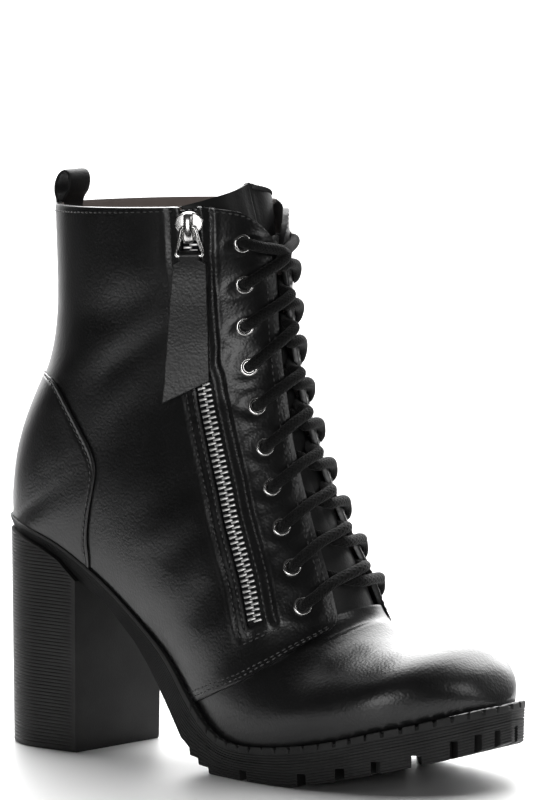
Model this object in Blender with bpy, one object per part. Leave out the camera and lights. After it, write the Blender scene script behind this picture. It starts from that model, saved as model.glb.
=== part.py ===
"""Block heel lace-up boot for the right foot, built from its separate pieces."""
import math

import bmesh
import bpy
import numpy as np
from mathutils import Vector

# Frame: x runs to the toe, y to the inner (medial) side, z up from the floor, sizes in millimetres
MM = 0.001
X_MID = 115.188
Y_MID = -1.175

# Driving sizes
CLEAR = 0.3
WALL = 1.8
LAP = 1.2
COUNTER_THICK = 1.1
TONGUE_THICK = 2.2
INSOLE_THICK = 2.6
LEDGE_TOE = 4.2
LEDGE_SIDE = 3.4
LEDGE_HEEL = 2.6
HEEL_LENGTH = 51.0
HEEL_WIDTH = 55.0
HEEL_TURN = math.radians(-5.0)
HEEL_TAPER = 0.97
HEEL_BACK = -4.6
EYELET_FLANGE = 3.85
EYELET_BARREL = 2.8
EYELET_BORE = 2.45
EYELET_TAIL = 0.4
EYELET_SEAT = 0.45
EYELET_CROWN = 1.25
LACE_RADIUS = 2.4
LACE_LIFT = 4.5
LACE_START = 1.0
SLOT_WIDTH = 7.0
TAPE_THICK = 1.0
TEETH_WIDTH = 4.6
LOOP_WIDTH = 14.0

# Last: one row per section of the fan, from the toe tip round the heel to the collar.
# s place, tx tz ridge, bx bz feather line or back seam, fl fm feather y (lateral, medial),
# wl wm widest y, hm height of the widest point, yc ridge y, pt fullness over the ridge,
# pb roundness of the back, gp half width of the throat
LAST_COLUMNS = ("s", "tx", "tz", "bx", "bz", "fl", "fm", "wl", "wm", "hm", "yc", "pt", "pb", "gp")
LAST = (
    (0.0000, 234.6, 33.5, 234.6, 33.5, 6.0, 6.0, 6.0, 6.0, 0.30, 6.0, 2.30, 1.00, 4.0),
    (0.0146, 234.0, 36.6, 233.8, 33.3, -0.5, 12.5, -0.7, 12.7, 0.30, 6.0, 2.30, 1.00, 7.0),
    (0.0323, 232.2, 41.2, 231.6, 32.8, -8.0, 19.0, -8.4, 19.4, 0.30, 6.0, 2.30, 1.00, 10.0),
    (0.0523, 229.0, 46.8, 228.0, 31.7, -15.5, 24.8, -16.1, 25.5, 0.30, 6.0, 2.30, 1.00, 13.0),
    (0.0727, 224.6, 51.0, 223.0, 30.3, -22.5, 30.4, -23.4, 31.3, 0.30, 6.2, 2.30, 1.00, 15.0),
    (0.0985, 218.0, 55.0, 215.3, 28.0, -30.0, 36.0, -31.2, 37.2, 0.30, 6.2, 2.30, 1.00, 16.5),
    (0.1303, 209.0, 56.2, 204.0, 25.0, -37.5, 40.3, -39.0, 41.8, 0.30, 6.0, 2.30, 1.00, 17.5),
    (0.1706, 198.0, 55.8, 188.0, 20.5, -43.0, 43.0, -44.8, 44.7, 0.30, 5.6, 2.20, 1.00, 18.0),
    (0.2158, 188.0, 57.0, 168.0, 16.5, -46.0, 43.5, -48.0, 45.2, 0.30, 5.0, 2.15, 1.00, 18.0),
    (0.2626, 180.0, 59.6, 146.0, 14.2, -44.5, 40.0, -47.0, 42.5, 0.32, 4.5, 2.10, 1.00, 18.0),
    (0.3042, 175.0, 62.6, 126.0, 16.5, -40.0, 35.0, -44.5, 40.5, 0.36, 3.5, 2.10, 1.00, 18.0),
    (0.3523, 171.0, 66.0, 107.0, 30.7, -33.5, 29.5, -41.2, 38.0, 0.40, 2.5, 2.10, 1.00, 18.0),
    (0.3979, 165.9, 79.4, 94.0, 43.2, -29.0, 25.0, -39.2, 36.2, 0.43, 1.5, 2.05, 1.00, 15.8),
    (0.4559, 156.0, 98.8, 79.0, 55.8, -27.2, 22.8, -37.1, 34.6, 0.45, 1.0, 2.00, 1.00, 12.4),
    (0.5152, 147.7, 116.9, 61.3, 69.8, -26.7, 22.3, -35.6, 33.6, 0.46, 0.5, 2.00, 1.00, 9.7),
    (0.5708, 141.2, 134.5, 43.6, 81.2, -26.5, 22.3, -34.1, 32.6, 0.46, 0.0, 2.00, 1.00, 8.0),
    (0.6218, 136.6, 151.1, 26.0, 89.2, -25.4, 22.0, -32.8, 31.6, 0.46, 0.0, 2.00, 1.35, 6.3),
    (0.6569, 134.2, 161.2, 12.0, 93.0, -22.4, 19.8, -32.1, 31.1, 0.46, 0.0, 2.00, 1.80, 5.7),
    (0.6815, 132.8, 168.2, 2.0, 94.9, -15.6, 14.4, -31.8, 31.1, 0.46, 0.0, 2.00, 1.97, 5.4),
    (0.6985, 131.8, 174.2, -3.6, 95.9, -8.2, 7.8, -31.7, 31.1, 0.46, 0.0, 2.00, 2.00, 5.1),
    (0.7094, 131.0, 179.3, -5.4, 96.6, 0.0, 0.0, -31.7, 31.1, 0.46, 0.0, 2.00, 2.00, 4.9),
    (0.7327, 130.0, 186.3, -6.0, 106.0, 0.0, 0.0, -31.9, 31.3, 0.47, 0.0, 2.00, 1.94, 4.5),
    (0.7739, 128.9, 194.4, -3.2, 125.0, 0.0, 0.0, -32.3, 31.9, 0.48, 0.0, 2.00, 1.78, 4.0),
    (0.8157, 127.7, 202.9, 4.0, 143.0, 0.0, 0.0, -33.1, 32.7, 0.48, 0.0, 2.00, 1.62, 3.4),
    (0.8537, 126.7, 210.4, 11.6, 159.0, 0.0, 0.0, -34.1, 33.7, 0.49, 0.0, 1.95, 1.52, 3.0),
    (0.8946, 125.9, 217.4, 15.9, 178.0, 0.0, 0.0, -35.3, 35.1, 0.50, 0.0, 1.95, 1.48, 3.0),
    (0.9441, 125.3, 224.4, 16.8, 202.0, 0.0, 0.0, -36.6, 36.4, 0.50, 0.0, 1.90, 1.50, 3.0),
    (1.0000, 124.8, 233.0, 17.0, 229.0, 0.0, 0.0, -37.6, 37.6, 0.50, 0.0, 1.90, 1.60, 3.0),
)
S_BACK = 0.7094

# Lower edge of the quarter on the vamp and upper edge at the collar; c runs feather to throat
SEAM = ((0.0, 0.345), (0.23, 0.338), (0.41, 0.330), (0.59, 0.3265), (0.72, 0.3285), (0.84, 0.3310),
        (0.92, 0.3370), (0.97, 0.3470), (1.0, 0.3640))
COLLAR = ((0.0, 1.0), (0.78, 1.0), (0.86, 0.990), (0.90, 0.982), (0.93, 0.967), (0.965, 0.939),
          (0.99, 0.910), (1.0, 0.886))

# Underside of the sole below each place of the feather line: s, x, z
UNDERSIDE = (
    (0.0, 236.6, 18.4), (0.0323, 233.4, 16.8), (0.0727, 224.4, 13.4), (0.0985, 216.2, 11.2),
    (0.1303, 204.5, 8.2), (0.1706, 188.6, 4.5), (0.2010, 175.0, 1.6), (0.2200, 166.0, 0.0),
    (0.2626, 146.0, 0.0), (0.3042, 127.0, 0.0), (0.3180, 121.0, 0.0), (0.3200, 120.4, 2.4),
    (0.3310, 114.4, 2.8), (0.3330, 113.8, 5.4), (0.3440, 108.6, 6.0), (0.3460, 108.0, 9.0),
    (0.3600, 102.2, 12.6), (0.3979, 87.6, 32.2), (0.4559, 73.2, 49.8), (0.5152, 56.6, 65.0),
    (0.5500, 45.6, 71.6), (0.5900, 33.6, 81.2), (0.6218, 23.4, 85.8), (0.6569, 10.6, 89.6),
    (0.6815, 2.0, 91.2), (0.6985, -3.0, 91.6), (0.7094, -4.8, 91.7),
)

# Eyelets of one side, bottom to top: s, t
EYELETS = (
    (0.3873, 0.705), (0.4324, 0.740), (0.4815, 0.778), (0.5326, 0.812), (0.5817, 0.845),
    (0.6347, 0.867), (0.6917, 0.885), (0.7408, 0.893), (0.8193, 0.890), (0.9057, 0.880),
)

# Line of the zip on the lateral quarter: s, t
ZIP_LINE = (
    (0.3760, 0.500), (0.3931, 0.515), (0.4383, 0.570), (0.4717, 0.600), (0.5149, 0.635),
    (0.5522, 0.670), (0.5778, 0.688), (0.6170, 0.713), (0.6480, 0.733), (0.6760, 0.752),
    (0.6917, 0.763), (0.7094, 0.772), (0.7200, 0.775), (0.7327, 0.776), (0.7530, 0.772),
    (0.7739, 0.768), (0.8075, 0.758), (0.8537, 0.742), (0.9000, 0.731), (0.9863, 0.731),
    (1.0400, 0.719),
)

# Free edge of the heel counter: s, t
COUNTER_EDGE = (
    (0.5520, 0.0), (0.5660, 0.030), (0.5935, 0.115), (0.6210, 0.200), (0.6367, 0.260),
    (0.6524, 0.310), (0.6799, 0.375), (0.7034, 0.415), (0.7251, 0.410), (0.7624, 0.355),
    (0.8020, 0.200), (0.8260, 0.112), (0.8409, 0.062),
)

# Tongue: s, t of its side edge, set-back of its middle
TONGUE = (
    (0.300, 0.740, 0.0), (0.366, 0.730, 0.0), (0.500, 0.800, 0.6), (0.600, 0.840, 1.2),
    (0.700, 0.860, 2.4), (0.800, 0.840, 4.0), (0.900, 0.780, 6.5), (1.000, 0.700, 10.0),
)
TONGUE_PEAK = 8.5

# Notches of the tread, lateral and medial: s, side, length along the edge, height, depth inward
NOTCHES = (
    (0.2700, -1, 4.0, 4.4, 14.0), (0.2060, -1, 4.0, 5.0, 14.0), (0.1680, -1, 4.0, 5.0, 14.0),
    (0.1330, -1, 4.0, 5.4, 14.0), (0.0610, -1, 3.6, 7.0, 8.0), (0.0370, -1, 3.4, 7.0, 8.0),
    (0.0160, -1, 3.2, 6.6, 8.0), (0.0090, 1, 3.2, 6.6, 8.0), (0.0330, 1, 3.4, 7.0, 8.0),
    (0.0600, 1, 3.6, 7.0, 8.0), (0.0980, 1, 4.0, 6.4, 14.0), (0.1330, 1, 4.0, 5.4, 14.0),
    (0.1680, 1, 4.0, 5.0, 14.0), (0.2700, 1, 4.0, 4.4, 14.0),
)
# Channel right across the tread: lateral end, medial end, half width, floor and roof heights
CHANNEL = (np.array([225.0, -41.0, 0.0]), np.array([156.0, 54.0, 0.0]), np.array([1.7, 1.2, 0.0]),
           (-6.0, -12.0), (17.2, 3.8))
# Cross grooves between the side notches: x of each, with their half length, half width and depth
GROOVES = (128.0, 141.0, 154.0, 168.0)
GROOVE_SIZE = (26.0, 1.8, 3.2)


def clear_scene():
    for item in list(bpy.data.objects):
        bpy.data.objects.remove(item, do_unlink=True)


def spline(knots, values):
    """Natural cubic curve through the rows of a table."""
    count = len(knots)
    step = np.diff(knots)
    lhs = np.eye(count)
    rhs = np.zeros_like(values)
    for i in range(1, count - 1):
        lhs[i, i - 1:i + 2] = step[i - 1], 2 * (step[i - 1] + step[i]), step[i]
        rhs[i] = 6 * ((values[i + 1] - values[i]) / step[i] - (values[i] - values[i - 1]) / step[i - 1])
    bend = np.linalg.solve(lhs, rhs)

    def at(x):
        i = int(np.clip(np.searchsorted(knots, x, side="right") - 1, 0, count - 2))
        d = step[i]
        u = (x - knots[i]) / d
        v = 1 - u
        cubic = ((v ** 3 - v) * bend[i] + (u ** 3 - u) * bend[i + 1]) * d * d / 6
        return v * values[i] + u * values[i + 1] + cubic
    return at


LAST_TABLE = np.array(LAST)
LAST_AT = spline(LAST_TABLE[:, 0], LAST_TABLE[:, 1:])
COL = {name: i for i, name in enumerate(LAST_COLUMNS[1:])}


def table_at(rows, x, column=1):
    data = np.array(rows)
    return float(np.interp(x, data[:, 0], data[:, column]))


def section(s):
    row = LAST_AT(min(s, 1.0)).copy()
    if s >= S_BACK - 1e-6:
        row[COL["fl"]] = 0.0
        row[COL["fm"]] = 0.0
    return row


def half_section(s, side):
    """Points of one half of a section, feather line to ridge, with the lengths along it."""
    row = section(s)
    foot, wide = (row[COL["fl"]], row[COL["wl"]]) if side < 0 else (row[COL["fm"]], row[COL["wm"]])
    hm = row[COL["hm"]]
    angle = np.linspace(0, math.pi / 2, 33)
    low = 1 - np.cos(angle)
    h_low = hm * low
    swell = 1 - (1 - low) ** 2
    power = row[COL["pb"]]
    if s < 0.5:
        y_low = foot + (wide - foot) * swell
    else:
        ends = abs(foot) ** power, abs(wide) ** power
        y_low = side * (ends[0] + (ends[1] - ends[0]) * swell) ** (1 / power)
    h_top = hm + (1 - hm) * np.sin(angle) ** (2 / row[COL["pt"]])
    y_top = row[COL["yc"]] + (wide - row[COL["yc"]]) * np.clip(np.cos(angle), 0, 1) ** (2 / row[COL["pt"]])
    h = np.concatenate([h_low, h_top[1:]])
    y = np.concatenate([y_low, y_top[1:]])
    x = row[COL["bx"]] + (row[COL["tx"]] - row[COL["bx"]]) * h
    z = row[COL["bz"]] + (row[COL["tz"]] - row[COL["bz"]]) * h
    line = np.stack([x, y, z], -1)
    run = np.concatenate([[0.0], np.cumsum(np.linalg.norm(np.diff(line, axis=0), axis=1))])
    return line, run


def surface(s, t, side):
    """Point of the last at place s and length fraction t; s above 1 goes on up past the collar."""
    line, run = half_section(s, side)
    at = t * run[-1]
    point = np.array([np.interp(at, run, line[:, i]) for i in range(3)])
    if s > 1.0:
        point = point + (s - 1.0) * np.array([0.0, 0.0, 450.0])
    return point


def raw_normal(s, t, side):
    ds = 0.0015 if s < 0.6 else 0.006
    dt = 0.004
    t0, t1 = max(t - dt, 0.0), min(t + dt, 1.0)
    along = surface(s + ds, t, side) - surface(s - ds, t, side)
    over = surface(s, t1, side) - surface(s, t0, side)
    n = side * np.cross(along, over)
    return n / np.linalg.norm(n)


def normal(s, t, side):
    """Outward direction of the last, shared by both halves where they meet."""
    s = min(max(s, 0.006), 0.994)
    if t > 0.9999 or (t < 0.0001 and s >= S_BACK - 0.002):
        n = raw_normal(s, t, -1) + raw_normal(s, t, 1)
        n[1] = 0.0
        return n / np.linalg.norm(n)
    return raw_normal(s, t, side)


def throat_t(s, side):
    """Length fraction of the throat edge on one half of a section."""
    line, run = half_section(s, side)
    row = section(s)
    half = len(line) // 2
    away = np.abs(line[half:, 1] - row[COL["yc"]])
    return float(np.interp(-row[COL["gp"]], -away, run[half:]) / run[-1])


def off(s, t, side, lift):
    return surface(s, t, side) + normal(s, t, side) * lift


def off_edge(s, t, side, lift):
    """Offset that stays level at the feather line, so a lower edge keeps its height."""
    n = normal(s, t, side)
    if s < 1e-6:
        n = np.array([1.0, 0.0, 0.0])
    elif t < 0.0001 and s < S_BACK + 1e-6:
        up = sole_up(s)
        n = n - up * np.dot(n, up)
        n = n / np.linalg.norm(n)
    return surface(s, t, side) + n * lift


def feather(s, side, ledge=0.0, rise=0.0):
    """Point of the feather line, set outward by a ledge and raised square to the sole."""
    def flat(q):
        row = section(min(max(q, 0.0), S_BACK - 1e-6))
        return np.array([row[COL["bx"]], row[COL["fl"] if side < 0 else COL["fm"]], row[COL["bz"]]])
    here = flat(s)
    if s <= 0.0005:
        out = np.array([1.0, 0.0])
    elif s >= S_BACK - 0.0005:
        out = np.array([-1.0, 0.0])
    else:
        run = flat(s + 0.0015) - flat(s - 0.0015)
        out = side * np.array([run[1], -run[0]])
        out = out / np.linalg.norm(out)
    up = sole_up(s)
    return here + np.array([out[0] * ledge, out[1] * ledge, 0.0]) + up * rise


def sole_up(s):
    """Direction square to the feather line, seen from the side."""
    a = section(min(max(s - 0.012, 0.0), S_BACK - 1e-6))
    b = section(min(max(s + 0.012, 0.0), S_BACK - 1e-6))
    run = np.array([b[COL["bx"]] - a[COL["bx"]], b[COL["bz"]] - a[COL["bz"]]])
    run = run / np.linalg.norm(run)
    return np.array([run[1], 0.0, -run[0]])


def ledge_at(s):
    return float(np.interp(s, (0.0, 0.07, 0.16, 0.36, 0.55, S_BACK),
                           (LEDGE_TOE, LEDGE_TOE, LEDGE_SIDE, LEDGE_SIDE, LEDGE_HEEL, LEDGE_HEEL)))


def seat(p):
    """Millimetres of the last to metres of the part."""
    return ((p[0] - X_MID) * MM, (p[1] - Y_MID) * MM, p[2] * MM)


def material(name, colour, metallic, rough):
    mat = bpy.data.materials.new(name)
    mat.use_nodes = True
    shader = mat.node_tree.nodes["Principled BSDF"]
    shader.inputs["Base Color"].default_value = (*colour, 1.0)
    shader.inputs["Metallic"].default_value = metallic
    shader.inputs["Roughness"].default_value = rough
    mat.diffuse_color = (*colour, 1.0)
    return mat


def solid(name, points, faces, mat, group, weld=0.02):
    """Mesh object from points and faces, welded and turned outward."""
    mesh = bpy.data.meshes.new(name)
    mesh.from_pydata([seat(p) for p in points], [], faces)
    bm = bmesh.new()
    bm.from_mesh(mesh)
    bmesh.ops.remove_doubles(bm, verts=bm.verts, dist=weld * MM)
    bmesh.ops.dissolve_degenerate(bm, edges=bm.edges, dist=0.002 * MM)
    bmesh.ops.recalc_face_normals(bm, faces=bm.faces)
    if bm.calc_volume(signed=True) < 0:
        bmesh.ops.reverse_faces(bm, faces=bm.faces)
    bm.to_mesh(mesh)
    bm.free()
    item = bpy.data.objects.new(name, mesh)
    if mat is not None:
        mesh.materials.append(mat)
    group.objects.link(item)
    return item


def apply_all(item):
    """Replace an object's mesh by its mesh with every modifier worked out."""
    graph = bpy.context.evaluated_depsgraph_get()
    mesh = bpy.data.meshes.new_from_object(item.evaluated_get(graph))
    item.modifiers.clear()
    item.data = mesh
    return item


def tidy(item, dist=0.004):
    bm = bmesh.new()
    bm.from_mesh(item.data)
    bmesh.ops.remove_doubles(bm, verts=bm.verts, dist=dist * MM)
    bmesh.ops.dissolve_degenerate(bm, edges=bm.edges, dist=0.002 * MM)
    bmesh.ops.recalc_face_normals(bm, faces=bm.faces)
    bm.to_mesh(item.data)
    bm.free()
    return item


def cut(item, cutter, operation="DIFFERENCE"):
    mod = item.modifiers.new("cut", "BOOLEAN")
    mod.operation = operation
    mod.solver = "EXACT"
    mod.object = cutter
    bpy.context.view_layer.update()
    apply_all(item)
    return tidy(item)


def grid_faces(rows, cols, start=0):
    return [(start + i * cols + j, start + i * cols + j + 1,
             start + (i + 1) * cols + j + 1, start + (i + 1) * cols + j)
            for i in range(rows - 1) for j in range(cols - 1)]


def sweep(name, ring_list, mat, group):
    """Closed solid through rings of equal count, capped at both ends."""
    count = len(ring_list[0])
    points = [p for ring in ring_list for p in ring]
    faces = []
    for i in range(len(ring_list) - 1):
        for j in range(count):
            k = (j + 1) % count
            faces.append((i * count + j, i * count + k, (i + 1) * count + k, (i + 1) * count + j))
    faces.append(tuple(range(count)))
    last = (len(ring_list) - 1) * count
    faces.append(tuple(last + j for j in range(count)))
    return solid(name, points, faces, mat, group, weld=0.004)


# Upper: vamp and quarters as one shell, the quarter standing over the vamp by its lap

C_STEPS = (0.0, 0.07, 0.17, 0.29, 0.41, 0.54, 0.70, 0.82, 0.90, 0.95, 0.985, 1.0)
G_STEPS = (0.0, 0.3, 0.65, 1.0)
VAMP_STEPS = (0.0, 0.025, 0.06, 0.11, 0.17, 0.24, 0.33, 0.44, 0.57, 0.72, 0.87, 1.0)
QUARTER_ROWS = (0.345, 0.372, 0.3979, 0.427, 0.4559, 0.485, 0.5152, 0.543, 0.5708, 0.597, 0.6218, 0.640,
                0.6569, 0.670, 0.6815, 0.691, 0.6985, 0.7055, S_BACK, 0.733, 0.754, 0.774, 0.7948, 0.8180,
                0.8409, 0.8600, 0.885, 0.915, 0.9500, 1.0)


def upper_columns():
    cols = [(-1, c, None) for c in C_STEPS]
    cols += [(-1, 1.0, g) for g in G_STEPS[1:]]
    cols += [(1, 1.0, g) for g in reversed(G_STEPS[1:-1])]
    cols += [(1, c, None) for c in reversed(C_STEPS)]
    return cols


def column_t(s, column):
    side, c, g = column
    edge = throat_t(max(s, 0.006), side)
    return edge * c if g is None else edge + (1 - edge) * g


def halves(a, b, j, medial):
    """Two triangles of one cell between rows a and b, mirrored on the medial side."""
    if medial:
        return [(a[j], a[j + 1], b[j]), (a[j + 1], b[j + 1], b[j])]
    return [(a[j], a[j + 1], b[j + 1]), (a[j], b[j + 1], b[j])]


def quarter_steps():
    """Rows of the quarter from the seam up, one of them where the back seam begins."""
    low, high = QUARTER_ROWS[0], QUARTER_ROWS[-1]
    steps = [(s - low) / (high - low) for s in QUARTER_ROWS]
    back = (S_BACK - low) / (high - low)
    return steps, back


def quarter_s(r, c):
    lowest = table_at(SEAM, c)
    return lowest + (table_at(COLLAR, c) - lowest) * r


def build_upper(mat, group):
    cols = upper_columns()
    count = len(cols)
    near = len(C_STEPS)
    ridge = near + len(G_STEPS) - 2
    points = []

    def add(p):
        points.append(p)
        return len(points) - 1

    def vertex(s, column, lift):
        return add(off_edge(s, column_t(s, column), column[0], lift))

    vamp_out, vamp_in = [], []
    for f in VAMP_STEPS:
        rows = [(table_at(SEAM, c[1]) * f, c) for c in cols]
        vamp_out.append([vertex(s, c, 0.0) for s, c in rows])
        vamp_in.append([vertex(s, c, -WALL) for s, c in rows])
    steps, back = quarter_steps()
    used = [j for j in range(count) if cols[j][2] is None]
    quarter_out, quarter_in = [], []
    for n, r in enumerate(steps):
        out_row, in_row = {}, {}
        for j in used:
            s = quarter_s(r, cols[j][1])
            out_row[j] = vertex(s, cols[j], LAP)
            in_row[j] = vamp_in[-1][j] if n == 0 else vertex(s, cols[j], -WALL)
        quarter_out.append(out_row)
        quarter_in.append(in_row)
    faces = []
    last = len(VAMP_STEPS) - 1
    for i in range(last):
        for j in range(count - 1):
            faces += halves(vamp_out[i], vamp_out[i + 1], j, j >= ridge)
            faces += halves(vamp_in[i], vamp_in[i + 1], j, j >= ridge)
        for j in (0, count - 1):
            faces.append((vamp_out[i][j], vamp_out[i + 1][j], vamp_in[i + 1][j], vamp_in[i][j]))
    pairs = [j for j in range(count - 1) if j in used and j + 1 in used and j != near - 1]
    for n in range(len(steps) - 1):
        for j in pairs:
            faces += halves(quarter_out[n], quarter_out[n + 1], j, j >= ridge)
            faces += halves(quarter_in[n], quarter_in[n + 1], j, j >= ridge)
        edges = [near - 1, count - near]
        if steps[n] < back - 1e-6:
            edges += [0, count - 1]
        for j in edges:
            face = [quarter_out[n][j], quarter_out[n + 1][j], quarter_in[n + 1][j], quarter_in[n][j]]
            if n == 0:
                face.append(vamp_out[-1][j])
            faces.append(tuple(face))
    for j in pairs:
        a, b = vamp_out[-1], quarter_out[0]
        faces.append((a[j], a[j + 1], b[j + 1], b[j]))
        a, b = quarter_out[-1], quarter_in[-1]
        faces.append((a[j], a[j + 1], b[j + 1], b[j]))
    for j in range(near - 1, count - near):
        a, b = vamp_out[-1], vamp_in[-1]
        faces.append((a[j], a[j + 1], b[j + 1], b[j]))
    return solid("upper", points, faces, mat, group)


def eyelet_frame(k, side):
    s, t = EYELETS[k]
    return off(s, t, side, LAP), normal(s, t, side)


def eyelet_holes(group):
    """Round cutters through both eyestays, joined in one mesh."""
    bm = bmesh.new()
    for side in (-1, 1):
        for k in range(len(EYELETS)):
            centre, axis = eyelet_frame(k, side)
            turn = Vector(axis).to_track_quat("Z", "Y").to_matrix().to_4x4()
            turn.translation = Vector(seat(centre - axis * 1.5))
            bmesh.ops.create_cone(bm, cap_ends=True, segments=8, radius1=(EYELET_BARREL + 0.45) * MM,
                                  radius2=(EYELET_BARREL + 0.45) * MM, depth=9 * MM, matrix=turn)
    mesh = bpy.data.meshes.new("eyelet_holes")
    bm.to_mesh(mesh)
    bm.free()
    item = bpy.data.objects.new("eyelet_holes", mesh)
    group.objects.link(item)
    item.hide_render = True
    item.display_type = "WIRE"
    return item


def zip_t(s):
    return table_at(ZIP_LINE, s)


ZIP_PLACES = tuple(np.linspace(0.3860, 1.0300, 25))


def zip_rings(s_from, s_to, width, low, high):
    """Rectangular rings along the zip line."""
    rings = []
    inner = [s for s in ZIP_PLACES if s_from + 0.004 < s < s_to - 0.004]
    for s in [s_from] + inner + [s_to]:
        base = surface(s, zip_t(s), -1)
        up = normal(s, zip_t(s), -1)
        ahead = surface(s + 0.006, zip_t(s + 0.006), -1) - surface(s - 0.006, zip_t(s - 0.006), -1)
        across = np.cross(up, ahead)
        across = across / np.linalg.norm(across) * width / 2
        rings.append([base - across + up * low, base + across + up * low,
                      base + across + up * high, base - across + up * high])
    return rings


def build_zip(upper, mats, group, cutters):
    slot = sweep("zip_slot", zip_rings(0.3860, 1.0300, SLOT_WIDTH, -6.0, 6.0), None, cutters)
    slot.hide_render = True
    slot.display_type = "WIRE"
    cut(upper, slot)
    tape_width = SLOT_WIDTH - 2 * CLEAR
    sweep("zip_tape", zip_rings(0.3885, 0.9900, tape_width, -1.7, -1.7 + TAPE_THICK), mats["tape"], group)
    low = -1.7 + TAPE_THICK + CLEAR
    sweep("zip_teeth", zip_rings(0.3930, 0.9800, TEETH_WIDTH, low, LAP), mats["metal"], group)
    build_zip_pull(mats, group)


# Slider, and the place its pull hangs towards: s, t
SLIDER_PLACE = (0.9660, 0.73075)
HANG_PLACE = (0.7000, 0.75019)
SLIDER_SIZE = (11.0, 9.0, 2.4)
BAIL_HEIGHT = 3.6
RING_TOP = 6.4
RING_BOTTOM = 12.0
RING_LENGTH = 13.0
RING_WIRE = 1.0
TAB_LENGTH = 61.0
TAB_NECK = 7.6
TAB_SHOULDER = 13.6
TAB_WIDE = 20.0
TAB_LEAN = 3.8
TAB_SLANT = 9.0
TAB_THICK = 2.2


def slider_frame():
    """Origin on the slider's base, with its across, down and out directions."""
    s, t = SLIDER_PLACE
    out = normal(s, t, -1)
    foot = surface(*HANG_PLACE, -1) + normal(*HANG_PLACE, -1) * LAP
    base = surface(s, t, -1) + out * (LAP + CLEAR)
    down = foot - base
    down = down / np.linalg.norm(down)
    across = np.cross(down, out)
    across = across / np.linalg.norm(across)
    out = np.cross(across, down)
    return base, across, down, out


def local(frame, a, d, o):
    base, across, down, out = frame
    return base + across * a + down * d + out * o


def block(name, frame, outline, low, high, mat, group):
    """Plate with an outline across and down the zip, between two heights."""
    rings = [[local(frame, a, d, h) for a, d in outline] for h in (low, high)]
    return sweep(name, rings, mat, group)


def wire(name, path, radius, mat, group, closed=False, sides=1):
    """Round bar along a path of points."""
    data = bpy.data.curves.new(name, "CURVE")
    data.dimensions = "3D"
    data.bevel_depth = radius * MM
    data.bevel_resolution = sides
    data.use_fill_caps = not closed
    line = data.splines.new("POLY")
    line.points.add(len(path) - 1)
    for point, p in zip(line.points, path):
        point.co = (*seat(p), 1.0)
    line.use_cyclic_u = closed
    item = bpy.data.objects.new(name + "_path", data)
    group.objects.link(item)
    bpy.context.view_layer.update()
    graph = bpy.context.evaluated_depsgraph_get()
    mesh = bpy.data.meshes.new_from_object(item.evaluated_get(graph))
    bpy.data.objects.remove(item, do_unlink=True)
    solid_item = bpy.data.objects.new(name, mesh)
    group.objects.link(solid_item)
    mesh.materials.clear()
    if mat is not None:
        mesh.materials.append(mat)
    return tidy(solid_item)


def build_zip_pull(mats, group):
    frame = slider_frame()
    wide, tall, thick = SLIDER_SIZE
    outline = [(-wide / 2 + 2, -tall / 2), (wide / 2 - 2, -tall / 2), (wide / 2, -tall / 2 + 2),
               (wide / 2 - 1.2, tall / 2), (-wide / 2 + 1.2, tall / 2), (-wide / 2, -tall / 2 + 2)]
    slider = block("zip_slider", frame, outline, 0.0, thick, mats["metal"], group)
    end, crown = tall / 2, thick + BAIL_HEIGHT
    arch = [(0.8, thick - 0.4), (0.8, thick + 1.4), (2.2, crown)]
    inner = [(2.0, thick - 0.4), (2.0, thick + 1.2), (2.7, crown - 0.9)]
    arch = [(d - end, o) for d, o in arch] + [(end - d, o) for d, o in reversed(arch)]
    inner = [(d - end, o) for d, o in inner] + [(end - d, o) for d, o in reversed(inner)]
    points, faces = [], []
    for a in (-1.7, 1.7):
        points += [local(frame, a, d, o) for d, o in arch]
        points += [local(frame, a, d, o) for d, o in inner]
    for j in range(5):
        faces.append((j, j + 1, 12 + j + 1, 12 + j))
        faces.append((6 + j, 18 + j, 18 + j + 1, 6 + j + 1))
        faces.append((j, 6 + j, 6 + j + 1, j + 1))
        faces.append((12 + j, 12 + j + 1, 18 + j + 1, 18 + j))
    faces += [(0, 12, 18, 6), (5, 11, 23, 17)]
    bail = solid("zip_bail", points, faces, None, group)
    cut(slider, bail, "UNION")
    bpy.data.objects.remove(bail, do_unlink=True)
    hinge = thick + CLEAR + RING_WIRE
    drop = RING_LENGTH
    end = 3.4
    half_top, half_end = RING_TOP / 2 + 0.6, RING_BOTTOM / 2 - RING_WIRE
    path = [local(frame, -half_top + 0.8, 0, hinge), local(frame, half_top - 0.8, 0, hinge),
            local(frame, half_top, 1.0, hinge), local(frame, half_end, drop - 3.2, end + 0.3),
            local(frame, half_end, drop - 1.6, end), local(frame, half_end - 1.0, drop - 1.0, end),
            local(frame, -half_end + 1.0, drop - 1.0, end), local(frame, -half_end, drop - 1.6, end),
            local(frame, -half_end, drop - 3.2, end + 0.3), local(frame, -half_top, 1.0, hinge)]
    ring = wire("zip_pull_ring", path, RING_WIRE, mats["metal"], group, closed=True, sides=1)
    tab = build_zip_tab(frame, drop - 1.0, end, mats, group)
    for item in (ring, tab):
        hang_on(item, local(frame, 0, 0, hinge))


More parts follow.
